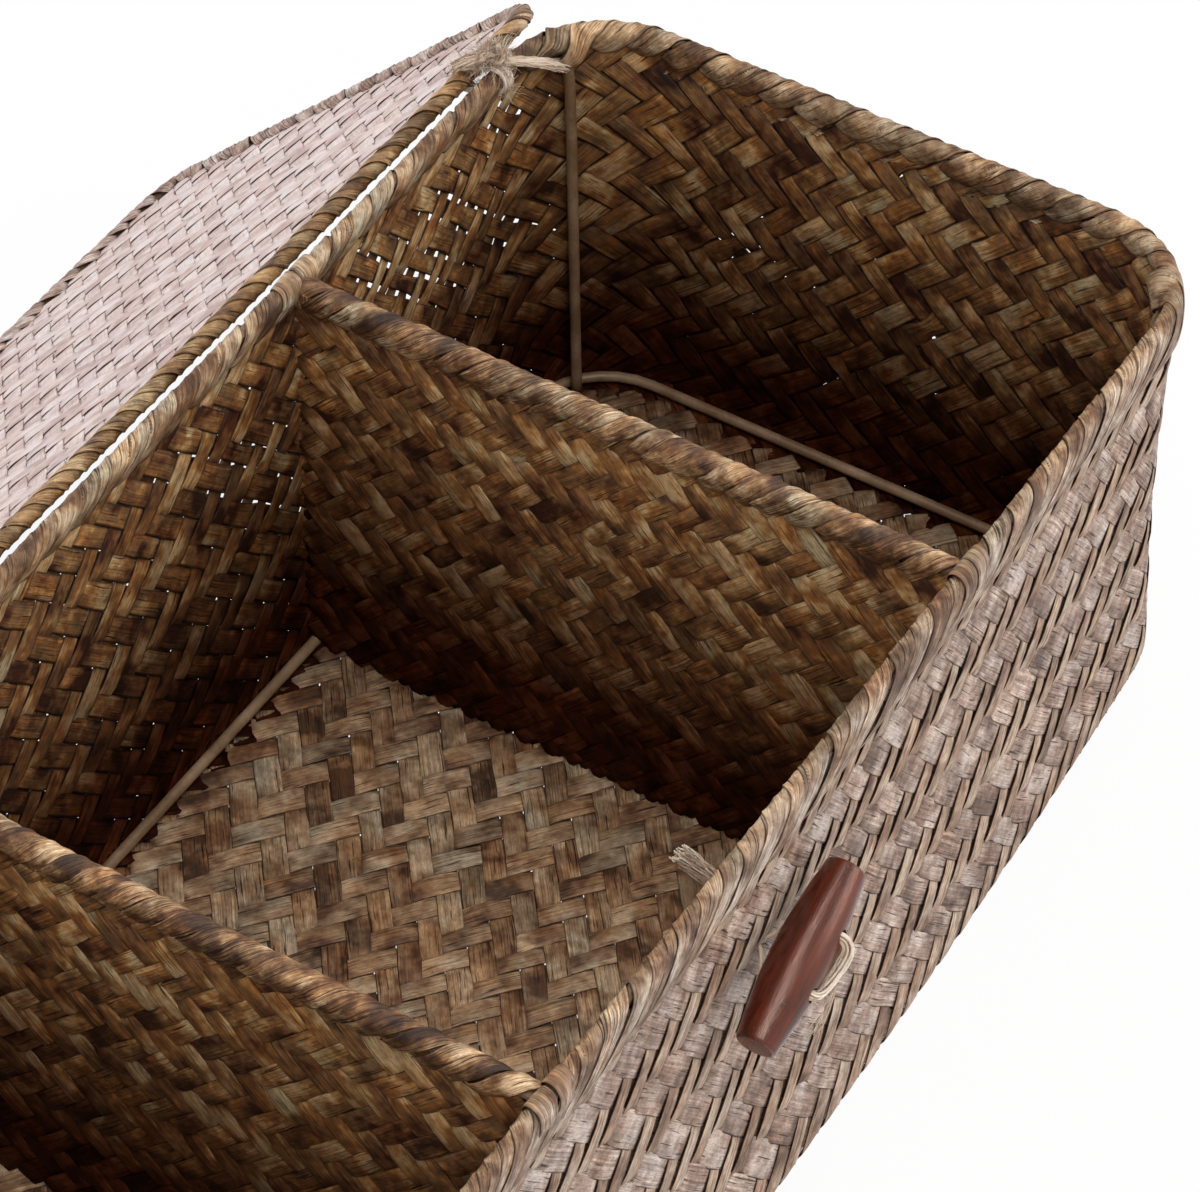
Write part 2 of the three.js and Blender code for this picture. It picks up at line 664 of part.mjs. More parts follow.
// The cord comes out of the wall in the middle, goes through one hole, crosses the outside of the
// toggle, goes back through the other hole and is knotted behind the wall.
function toggleCord() {
  const wall = TOGGLE_STANDOFF; // the wall's outer face lies this far behind the toggle's axis
  const inside = wall + WEAVE_THICKNESS;
  const knotY = inside + GAP + KNOT_DIAMETER / 2;
  const hole = TOGGLE_HOLE_SPACING / 2;
  const behind = wall - GAP - JUTE_RADIUS;
  const front = -TOGGLE_DIAMETER / 2 - STITCH_HEIGHT;
  const half = [
    [CORD_LEG_SPREAD, knotY],
    [CORD_LEG_SPREAD, inside],
    [CORD_LEG_SPREAD, wall],
    [CORD_LEG_SPREAD + JUTE_RADIUS, behind + 0.1 * JUTE_RADIUS],
    [hole - 2.4 * JUTE_RADIUS, behind],
    [hole - 0.8 * JUTE_RADIUS, behind - 0.4 * JUTE_RADIUS],
    [hole, behind - 2.4 * JUTE_RADIUS],
    [hole, 0],
    [hole, front + 2.2 * JUTE_RADIUS],
    [hole - 0.7 * JUTE_RADIUS, front + 0.5 * JUTE_RADIUS],
    [hole / 2, front],
  ];
  const mirrored = half.map(([x, y]) => [-x, y]).reverse();
  const points = [...half, [0, front], ...mirrored].map(([x, y]) => new THREE.Vector3(x, y, 0));
  const path = new THREE.CatmullRomCurve3(points, false, 'centripetal');
  const cord = bar(path, JUTE_RADIUS, JUTE_SIDES, CORD_STEPS);
  const knot = new THREE.SphereGeometry(KNOT_DIAMETER / 2, 12, 8).translate(0, knotY, 0);
  const slope = radians(KNOT_TAIL_SLOPE);
  const tilt = radians(TOGGLE_TILT);
  const rise = Math.sin(slope) * KNOT_TAIL;
  const tip = new THREE.Vector3(rise * Math.sin(tilt), Math.cos(slope) * KNOT_TAIL, rise * Math.cos(tilt));
  const middle = new THREE.Vector3(0, knotY, 0);
  const tail = straightBar(middle, tip.add(middle), KNOT_TAIL_DIAMETER / 2, JUTE_SIDES);
  return join(cord, knot, tail);
}

const toggle = new THREE.Group();
toggle.position.set(TOGGLE_X, -FRONT_FACE - TOGGLE_STANDOFF, TOGGLE_HEIGHT);
toggle.rotation.y = -radians(TOGGLE_TILT);
add(toggle, 'toggle', toggleBarrel(), WOOD);
add(toggle, 'toggle_cord', toggleCord(), JUTE);
basket.add(toggle);

// The lid closes in two turns that go together: the ties swing up round the rim until the lid
// clears the lashings, and the lid turns in the ties until it lies level.
const LID_SEAT = RIM_RADIUS + GAP + LASHING_THICKNESS + GAP + LID_EDGE_RADIUS;
const tieSwing = 180 - degrees(Math.asin(LID_SEAT / HINGE_SPACING)) + TIE_REST_SLOPE;
const lidTurn = 180 + degrees(LID_SLOPE) - tieSwing;
console.log(`ties swing ${tieSwing.toFixed(3)} degrees about y ${RIM_WIDTH / 2}, z ${RIM_HEIGHT}`);
const lidHinge = `y ${LID_HINGE_Y.toFixed(3)}, z ${LID_HINGE_Z.toFixed(3)}`;
console.log(`lid turns ${lidTurn.toFixed(3)} degrees about ${lidHinge}`);
console.log(`toggle swivels about x ${TOGGLE_X}, y ${toggle.position.y.toFixed(3)}, z ${TOGGLE_HEIGHT}`);

export default basket;
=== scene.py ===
"""A lidded basket plaited from split sedge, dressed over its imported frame.

Lengths inside this script are millimetres until a mesh is written, which is in metres. The axes
are the part's own: +X along the basket, +Y to the side where the lid is tied on, +Z up.
"""

import logging
import math
from dataclasses import dataclass, field
from enum import Enum
from typing import Callable, Sequence

import bpy
import numpy as np
from mathutils import Matrix, Vector


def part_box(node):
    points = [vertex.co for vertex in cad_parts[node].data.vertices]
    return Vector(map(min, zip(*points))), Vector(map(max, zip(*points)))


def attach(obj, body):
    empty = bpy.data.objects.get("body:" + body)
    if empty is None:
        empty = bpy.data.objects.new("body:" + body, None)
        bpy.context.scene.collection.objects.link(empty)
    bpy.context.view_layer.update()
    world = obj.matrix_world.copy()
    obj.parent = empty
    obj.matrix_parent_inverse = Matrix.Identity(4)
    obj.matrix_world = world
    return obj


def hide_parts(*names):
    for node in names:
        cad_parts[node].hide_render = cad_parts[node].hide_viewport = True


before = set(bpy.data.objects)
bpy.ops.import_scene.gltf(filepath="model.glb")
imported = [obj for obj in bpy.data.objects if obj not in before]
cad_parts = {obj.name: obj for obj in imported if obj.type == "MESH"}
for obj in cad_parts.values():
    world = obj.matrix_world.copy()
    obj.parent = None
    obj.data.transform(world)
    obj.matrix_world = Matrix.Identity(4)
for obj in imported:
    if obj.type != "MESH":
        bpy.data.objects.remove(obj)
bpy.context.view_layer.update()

Array = np.ndarray
Colour = tuple[float, float, float]
Point = tuple[float, float, float]
Pair = tuple[float, float]
Line = Callable[[Array], tuple[Array, Array, Array]]
Material = bpy.types.Material
Mesh = bpy.types.Mesh
Socket = bpy.types.NodeSocket
LOG = logging.getLogger("basket")

MM = 0.001

# The rim's centreline, as the frame has it.
RIM_HALF_LENGTH = 206.0
RIM_HALF_WIDTH = 88.0
RIM_CORNER = 28.0
RIM_SIZE = (RIM_HALF_LENGTH, RIM_HALF_WIDTH, RIM_CORNER)
RIM_HEIGHT = 122.0
DIVIDER_X = 86.0
RAIL_HEIGHT = 120.0
LID_HALF_LENGTH = 206.0
LID_DEPTH = 165.0
LID_CORNER = 12.0
LID_SIZE = (LID_HALF_LENGTH, LID_DEPTH / 2, LID_CORNER)
LID_HINGE = (96.456, 118.376)
LID_SLOPE = math.asin((LID_HINGE[1] - 3.3) / LID_DEPTH)
TIE_X = 172.0
TIE_SLOPE = math.radians(23.2)
HINGE_SPACING = 9.2
TOGGLE_PLACE = (-2.5, -99.05, 88.0)
TOGGLE_TILT = math.radians(18.5)
TOGGLE_LEAN = math.radians(3.6)
WALL_OUTSET = 0.9
FLOOR_HEIGHT = 0.8


# Small helpers


def linear(red: int, green: int, blue: int) -> Colour:
    """A screen colour of 0 to 255 as scene light: each part to the power 2.4 after its offset.

    Args:
        red, green, blue: the colour's parts, 0 to 255.

    Returns:
        The same parts as light, 0 to 1.
    """
    parts = np.array([red, green, blue]) / 255
    light = np.where(parts <= 0.04045, parts / 12.92, ((parts + 0.055) / 1.055) ** 2.4)
    return tuple(float(value) for value in light)


def palette(*colours: tuple[int, int, int]) -> tuple[Colour, ...]:
    """Screen colours as scene light."""
    return tuple(linear(*colour) for colour in colours)


def fade(values: Array, none: float, full: float) -> Array:
    """0 up to one value and 1 from another on, with a straight run between them."""
    return np.clip((values - none) / (full - none), 0, 1)


def turned(first: Array, second: Array, angle: float) -> tuple[Array, Array]:
    """Two coordinates turned from the first towards the second by an angle in radians."""
    cos, sin = math.cos(angle), math.sin(angle)
    return first * cos - second * sin, first * sin + second * cos


def unit(vectors: Array) -> Array:
    """Vectors divided by their own length."""
    return vectors / np.maximum(np.linalg.norm(vectors, axis=-1, keepdims=True), 1e-9)


def arc_lengths(points: Array) -> Array:
    """Distance along a chain of points, from its first."""
    return np.concatenate([[0], np.cumsum(np.linalg.norm(np.diff(points, axis=0), axis=1))])


def cut_corners(points: Array) -> Array:
    """Smooths a chain three times: each side keeps its middle half, and both ends stay.

    Args:
        points: the chain, one point a row.

    Returns:
        The smooth chain.
    """
    for _ in range(3):
        near = 0.75 * points[:-1] + 0.25 * points[1:]
        far = 0.25 * points[:-1] + 0.75 * points[1:]
        inner = np.stack([near, far], 1).reshape(-1, points.shape[1])
        points = np.concatenate([points[:1], inner, points[-1:]])
    return points


@dataclass(frozen=True)
class Ripple:
    """Smooth noise of a size and a longest wavelength: three sine waves, each half as long."""

    size: float
    length: float

    def along(self, rng: np.random.Generator, places: Array) -> Array:
        """The noise along strips, each wave of which has its own phase on each strip.

        Args:
            rng: source of the phases.
            places: distance along each strip, shape (strips, stations).

        Returns:
            Noise of the same shape, of about -size to size.
        """
        total = np.zeros_like(places)
        for octave, share in enumerate((0.6, 0.3, 0.2)):
            phase = rng.uniform(0, 2 * np.pi, (len(places), 1))
            stretch = rng.uniform(0.8, 1.3, (len(places), 1))
            total += share * np.sin(2 * np.pi * places * stretch * 2**octave / self.length + phase)
        return self.size * total


def new_mesh(name: str, points: Array, groups: Sequence[Array]) -> Mesh:
    """A smooth mesh from points in millimetres, turned so that its volume is positive.

    Args:
        name: the mesh's name.
        points: vertices, shape (n, 3).
        groups: face index arrays, each of shape (faces, corners).

    Returns:
        The mesh, in metres.
    """
    fans = [points[group[:, [0, k, k + 1]]] for group in groups for k in range(1, group.shape[1] - 1)]
    volume = sum(np.einsum("ij,ij->i", f[:, 0], np.cross(f[:, 1], f[:, 2])).sum() for f in fans)
    if volume < 0:
        groups = [group[:, ::-1] for group in groups]
    corners = np.concatenate([group.ravel() for group in groups])
    sizes = np.concatenate([np.full(len(group), group.shape[1]) for group in groups])
    mesh = bpy.data.meshes.new(name)
    mesh.vertices.add(len(points))
    mesh.vertices.foreach_set("co", (points * MM).astype(np.float32).ravel())
    mesh.loops.add(len(corners))
    mesh.loops.foreach_set("vertex_index", corners.astype(np.int32))
    mesh.polygons.add(len(sizes))
    starts = np.concatenate([[0], np.cumsum(sizes)[:-1]])
    mesh.polygons.foreach_set("loop_start", starts.astype(np.int32))
    mesh.polygons.foreach_set("use_smooth", np.ones(len(sizes), bool))
    mesh.update(calc_edges=True)
    mesh.validate()
    return mesh


def tube_faces(count: int, stations: int, sides: int, closed: bool = False) -> list[Array]:
    """Faces of tubes whose points come ring by ring: the sides, and both ends where they are open.

    Args:
        count: number of tubes.
        stations: rings of each.
        sides: points of each ring.
        closed: whether each tube meets itself.

    Returns:
        Face index arrays: the sides and, for open tubes, the first and the last rings.
    """
    index = np.arange(count * stations * sides).reshape(count, stations, sides)
    ahead = np.roll(index, -1, axis=2)
    quads = np.stack([index, ahead, np.roll(ahead, -1, axis=1), np.roll(index, -1, axis=1)], -1)
    if closed:
        return [quads.reshape(-1, 4)]
    return [quads[:, :-1].reshape(-1, 4), index[:, 0, ::-1], index[:, -1]]


def add_numbers(mesh: Mesh, numbers: dict[str, Array]) -> None:
    """Stores one number per vertex under each name.

    Args:
        mesh: the mesh.
        numbers: each name with its values.
    """
    for name, values in numbers.items():
        layer = mesh.attributes.new(name, "FLOAT", "POINT")
        layer.data.foreach_set("value", values.astype(np.float32).ravel())


def set_outer(mesh: Mesh, values: Array) -> None:
    """Writes how outdoor-faded each point of a mesh of strips is, 0 to 1."""
    mesh.attributes["outer"].data.foreach_set("value", values.astype(np.float32))


def vertices_of(mesh: Mesh) -> Array:
    """A mesh's points in metres, shape (n, 3).

    Args:
        mesh: the mesh.

    Returns:
        The points.
    """
    points = np.zeros(len(mesh.vertices) * 3, np.float32)
    mesh.vertices.foreach_get("co", points)
    return points.reshape(-1, 3)


def link(name: str, data: bpy.types.ID) -> bpy.types.Object:
    """A new object of the scene.

    Args:
        name: the object's name.
        data: its mesh, light or camera.

    Returns:
        The object.
    """
    item = bpy.data.objects.new(name, data)
    bpy.context.scene.collection.objects.link(item)
    return item


def add_piece(mesh: Mesh, material: Material, body: str, replaced: Sequence[str]) -> None:
    """Puts a mesh into the scene as a piece that rides on a body.

    Args:
        mesh: the finished mesh, whose name becomes the piece's.
        material: its finish.
        body: the body it rides on.
        replaced: the frame's nodes that it stands for.
    """
    piece = link(mesh.name, mesh)
    mesh.materials.append(material)
    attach(piece, body)
    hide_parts(*replaced)
    LOG.info("%s: %d faces on %s", mesh.name, len(mesh.polygons), body)


# Surfaces that strips lie on


def round_rectangle(along: Array, half_length: Array, half_width: Array, corner: Array,
                    reference: Point) -> tuple[Array, Array]:
    """Points and outward directions round a rounded rectangle.

    The distance is measured on the reference rectangle, anticlockwise from the +X end of its back
    right corner. Corner arcs and straights take turns, and each keeps its share of the length on
    a rectangle of another size: point = arc centre + radius x (cos, sin) of the turn so far.

    Args:
        along: distance on the reference.
        half_length: half the size along X, at each distance.
        half_width: half the size along Y.
        corner: corner radius.
        reference: half length, half width and radius of the reference.

    Returns:
        Points and outward directions, each with a last axis of 2.
    """
    length, width, radius = reference
    arc = radius * np.pi / 2
    sizes = np.array([arc, 2 * (length - radius), arc, 2 * (width - radius)] * 2)
    ends = np.cumsum(sizes)
    place = np.mod(along, ends[-1])
    part = np.clip(np.searchsorted(ends, place, side="right"), 0, 7)
    share = (place - (ends - sizes)[part]) / sizes[part]
    turn, straight = part // 2, part % 2
    angle = np.pi / 2 * (turn + np.where(straight, 1.0, share))
    out = np.stack([np.cos(angle), np.sin(angle)], -1)
    signs = np.array([[1, 1], [-1, 1], [-1, -1], [1, -1], [1, 1]])
    reach = np.stack([half_length - corner, half_width - corner], -1)
    from_centre, to_centre = signs[turn] * reach, signs[turn + 1] * reach
    moved = np.where(straight, share, 0.0)[..., None] * (to_centre - from_centre)
    return from_centre + moved + out * np.asarray(corner)[..., None], out


def plain_rectangle(along: Array, size: Point) -> tuple[Array, Array]:
    """Points and outward directions round one rounded rectangle: half length, half width, radius."""
    return round_rectangle(along, *(np.full_like(along, value) for value in size), size)


def perimeter(size: Point) -> float:
    """The length round a rounded rectangle."""
    length, width, radius = size
    return 4 * (length + width - 2 * radius) + 2 * np.pi * radius


@dataclass(frozen=True)
class FlatSheet:
    """A flat sheet: point = origin + s x along + t x across + h x normal.

    Its low and high ends are places in s and t. Its low edge bows out by a parabola, which ends
    at bow_reach of half its length.
    """

    origin: Point
    along: Point
    across: Point
    low: Pair
    high: Pair
    corner: float
    bow: float = 0.0
    bow_reach: float = 0.92

    def place(self, s: Array, t: Array, h: Array) -> Array:
        """Points of the sheet.

        Args:
            s, t, h: distance along, distance across and height off the surface.

        Returns:
            Points in millimetres, with a last axis of 3.
        """
        along, across = np.array(self.along), np.array(self.across)
        flat = s[..., None] * along + t[..., None] * across
        return np.array(self.origin) + flat + h[..., None] * np.cross(along, across)

    def inside(self, s: Array, t: Array) -> Array:
        """Whether places lie inside the sheet's rounded outline.

        Args:
            s, t: places on the sheet.

        Returns:
            True for each place inside.
        """
        middle = (np.array(self.low) + self.high) / 2
        half = (np.array(self.high) - self.low) / 2
        bow = self.bow * np.maximum(0, 1 - (s / (self.bow_reach * half[0])) ** 2)
        bow = np.where(t < middle[1], bow, 0)
        over_s = np.abs(s - middle[0]) - (half[0] - self.corner)
        over_t = np.abs(t - middle[1]) - (half[1] - self.corner) - bow
        outside = np.hypot(np.maximum(over_s, 0), np.maximum(over_t, 0))
        return (outside <= self.corner + 1e-6) & (np.maximum(over_s, over_t) <= self.corner + 1e-6)


@dataclass(frozen=True)
class WallSheet:
    """The four walls as one band round the basket, which turns in under the floor at its foot.

    s runs anticlockwise round the basket and t is the height. Half length, half width and corner
    radius change with height as the frame's walls do. Under the foot's height the band follows a
    quarter circle and then lies flat.
    """

    foot_spread: float = 4.5
    foot_corner: float = 25.0
    waist: float = 2.5
    bow: float = 6.6
    bow_reach: float = 190.0
    foot_radius: float = 2.2
    front_stretch: float = 1.2
    front_widths: Pair = (-0.2, 0.04)
    front_ease: float = 1.6

    @property
    def reference(self) -> Point:
        """Half length, half width and corner radius at the rim."""
        return tuple(size + WALL_OUTSET for size in RIM_SIZE)

    @property
    def length(self) -> float:
        """The length round the basket."""
        return perimeter(self.reference)

    def stretch(self, s: Array) -> Array:
        """How much taller a crossing is here: most on the front, eased round its two corners.

        Args:
            s: distance round the basket.

        Returns:
            The factor on heights.
        """
        length, width, radius = self.reference
        arc = radius * np.pi / 2
        start = 2 * arc + 2 * (length - radius) + 2 * (width - radius)
        end = start + 2 * arc + 2 * (length - radius)
        place = np.mod(s, self.length)
        rise = np.clip((place - start) / (2 * arc), 0, 1) * np.clip((end - place) / (2 * arc), 0, 1)
        rise = np.where((place > start) & (place < end), np.minimum(rise * self.front_ease, 1), 0)
        return 1 + (self.front_stretch - 1) * rise * rise * (3 - 2 * rise)

    def place(self, s: Array, t: Array, h: Array) -> Array:
        """Points of the band at distance s, height t and h outside its middle.

        Args:
            s, t, h: distance along, distance across and height off the surface.

        Returns:
            Points in millimetres, with a last axis of 3.
        """
        turn_start = FLOOR_HEIGHT + self.foot_radius
        bend = np.clip((turn_start - t) / self.foot_radius, 0, np.pi / 2)
        under = np.maximum(turn_start - self.foot_radius * np.pi / 2 - t, 0)
        height = np.where(t > turn_start, t, turn_start - self.foot_radius * np.sin(bend))
        down = np.clip(1 - height / RIM_HEIGHT, 0, 1)
        length, width, radius = self.reference
        draw = self.waist / (math.sqrt(2) - 1) * np.sin(np.pi * down)
        corner = radius + (self.foot_corner - radius) * down + draw
        inset = self.foot_radius * (1 - np.cos(bend)) + under
        spread = length + self.foot_spread * down
        flat, out = round_rectangle(s, spread, np.full_like(s, width), corner, self.reference)
        flat = flat + out * (h * np.cos(bend) - inset)[..., None]
        flat[..., 1] -= np.where(flat[..., 1] < 0, self.front_bow(flat[..., 0], height), 0)
        return np.concatenate([flat, (height - h * np.sin(bend))[..., None]], -1)

    def front_bow(self, x: Array, height: Array) -> Array:
        """How far the front bows out: a parabola along x times the cube of the way down."""
        down = np.clip(1 - height / RIM_HEIGHT, 0, 1)
        return self.bow * down**3 * np.maximum(0, 1 - (x / self.bow_reach) ** 2)


@dataclass(frozen=True)
class EdgeRoll:
    """A surface rolled over an edge: a profile carried along a line.

    c runs along the profile, with 0 at its top or outermost point, and h stands off it. Point =
    line point + outward x the profile's first number + upward x its second. The profile's corners
    are cut, and its normal is its tangent turned a quarter.
    """

    line: Line
    profile: Sequence[Pair]

    def curve(self) -> tuple[Array, Array]:
        """The profile's arc lengths, counted from its top or outermost point, and its points.

        Returns:
            Arc lengths and points in the plane across the edge.
        """
        points = cut_corners(np.array(self.profile))
        arcs = arc_lengths(points)
        top = arcs[np.argmax(points[:, 1])]
        if np.ptp(points[:, 1]) < np.ptp(points[:, 0]):
            top = arcs[np.argmax(points[:, 0])]
        return arcs - top, points

    @property
    def limits(self) -> Pair:
        """The lowest and highest c."""
        arcs, _ = self.curve()
        return float(arcs[0]), float(arcs[-1])

    def place(self, s: Array, c: Array, h: Array) -> Array:
        """Points at distance s along the edge, c over it and h off it.

        Args:
            s, c, h: distance along the edge, over it and off it.

        Returns:
            Points in millimetres, with a last axis of 3.
        """
        arcs, points = self.curve()
        across = np.interp(c, arcs, points[:, 0])
        upward = np.interp(c, arcs, points[:, 1])
        tangent = unit(np.gradient(points, axis=0))
        lean = unit(np.stack([np.interp(c, arcs, tangent[:, k]) for k in (0, 1)], -1))
        across = across - lean[..., 1] * h
        upward = upward + lean[..., 0] * h
        start, out, up = self.line(s)
        return start + across[..., None] * out + upward[..., None] * up


def rim_line(s: Array) -> tuple[Array, Array, Array]:
    """Points, outward and upward directions round the rim's centreline.

    Args:
        s: distance along the line.

    Returns:
        Points, outward and upward directions.
    """
    flat, out = plain_rectangle(s, RIM_SIZE)
    flat_zero = np.zeros_like(s)[..., None]
    points = np.concatenate([flat, flat_zero + RIM_HEIGHT], -1)
    return points, np.concatenate([out, flat_zero], -1), np.broadcast_to([0.0, 0.0, 1.0], points.shape)


def rail_line(x: float) -> Line:
    """The line of a divider's rail: s runs towards -Y, outward is +X and upward is +Z.

    Args:
        x: the rail's place.

    Returns:
        The line, as a function of the distance along it.
    """

    def line(s: Array) -> tuple[Array, Array, Array]:
        """Points and directions along the rail.

        Args:
            s: distance along the line.

        Returns:
            Points, outward and upward directions.
        """
        points = np.stack([np.full_like(s, x), -s, np.full_like(s, RAIL_HEIGHT)], -1)
        out = np.broadcast_to([1.0, 0.0, 0.0], points.shape)
        return points, out, np.broadcast_to([0.0, 0.0, 1.0], points.shape)

    return line


LID_ALONG = (1.0, 0.0, 0.0)
LID_OUT = (0.0, math.cos(LID_SLOPE), -math.sin(LID_SLOPE))
LID_NORMAL = (0.0, math.sin(LID_SLOPE), math.cos(LID_SLOPE))


def lid_line(s: Array) -> tuple[Array, Array, Array]:
    """Points, outward and upward directions round the lid's edge wire, on the leaning lid.

    Args:
        s: distance along the line.

    Returns:
        Points, outward and upward directions.
    """
    flat, out = plain_rectangle(s, LID_SIZE)
    axes = np.array([LID_ALONG, LID_OUT])
    origin = np.array([0.0, *LID_HINGE])
    points = origin + (flat + [0, LID_DEPTH / 2]) @ axes
    return points, out @ axes, np.broadcast_to(LID_NORMAL, points.shape)


# Strips

# The cross-section of a strip: place across it, share of its thickness, and 1 on its upper face.
SECTION = np.array([
    (-1.0, 0.0, 0.5),
    (-0.9, 0.48, 1.0),
    (0.0, 0.5, 1.0),
    (0.9, 0.48, 1.0),
    (1.0, 0.0, 0.5),
    (0.75, -0.48, 0.0),
    (-0.75, -0.48, 0.0),
])


@dataclass
class Strips:
    """A bundle of strips on one surface, as arrays of one row per strip and one column per station."""

    s: Array
    t: Array
    height: Array
    half_width: Array
    tilt: Array
    thickness: float
    crown: float
    tone: Array
    relief: Array
    lean: float = 0.0
    # How strongly the strips' edges are painted in shade.
    edging: float = 1.0

    def build(self, name: str, surface: "FlatSheet | WallSheet | EdgeRoll",
              outer: float | None = None,
              deep: Callable[[Array], Array] | None = None) -> Mesh:
        """Makes the strips' mesh.

        A vertex lies at station + place across x half width, square to the strip's own way in the
        surface, and at height + thickness share + crown x (1 - across squared) + tilt x across.

        Args:
            name: the mesh's name.
            surface: the surface they lie on.
            outer: 1 for outdoor-faded and 0 for indoor colours; by face where it is left out.
            deep: how far in shade a place is, 0 to 1.

        Returns:
            The mesh, with the numbers that the finishes read.
        """
        count, stations = self.s.shape
        way = unit(np.stack([np.gradient(self.s, axis=1), np.gradient(self.t, axis=1)], -1))
        v, lift, face = (column[None, None, :] for column in SECTION.T)
        s = self.s[..., None] - way[..., 1:] * v * self.half_width[..., None]
        t = self.t[..., None] + way[..., :1] * v * self.half_width[..., None]
        h = self.height[..., None] + lift * self.thickness + self.crown * (1 - v * v)
        h = h + self.tilt[..., None] * v
        points = surface.place(s, t, h)
        shape = (count, stations, len(SECTION))
        mesh = new_mesh(name, points.reshape(-1, 3), tube_faces(*shape))
        steps = np.hypot(np.diff(self.s, axis=1), np.diff(self.t, axis=1))
        along = np.concatenate([np.zeros((count, 1)), np.cumsum(steps, axis=1)], 1)
        side = np.broadcast_to(face if outer is None else np.full((1, 1, 1), outer), shape)
        add_numbers(mesh, {
            "along": np.broadcast_to(along[..., None] + 300 * self.tone[:, None, None], shape),
            "across": np.broadcast_to(v, shape),
            "strip": np.broadcast_to(self.tone[:, None, None], shape),
            "outer": side,
            # The relief marks where the finish paints shade: low where a strip's face dives under another
            # strip.
            "relief": np.broadcast_to(self.relief[..., None] * (2 * face - 1), shape),
            "lean": np.full(shape, self.lean),
            # The edge marks each strip's two edges, which the finish paints in shade.
            "edge": np.broadcast_to(self.edging * (np.abs(v) == 1), shape),
            "deep": deep(points) if deep else np.zeros(shape),
        })
        return mesh


class TwillRun(Enum):
    """Which way the rows of a twill run: along s, as on the walls, or along t, as on the lid."""

    ALONG_S = 1
    ALONG_T = -1


@dataclass(frozen=True)
class ThinSpot:
    """A patch where the strips lie further apart and light comes through.

    Its length lies along s, or at an angle to it in degrees where the strips run that way.
    """

    s: float
    t: float
    reach: float
    breadth: float
    turn: float = 0.0

    def weight(self, s: Array, t: Array, around: float) -> Array:
        """A bell over the patch: e to the minus fourth power of the distance, counted round.

        Args:
            s, t: places on the walls.
            around: the length round the basket.

        Returns:
            1 in the patch's middle and 0 away from it.
        """
        gap = np.mod(s - self.s + around / 2, around) - around / 2
        along, aside = turned(gap, t - self.t, -math.radians(self.turn))
        return np.exp(-((along / self.reach) ** 2 + (aside / self.breadth) ** 2) ** 2)


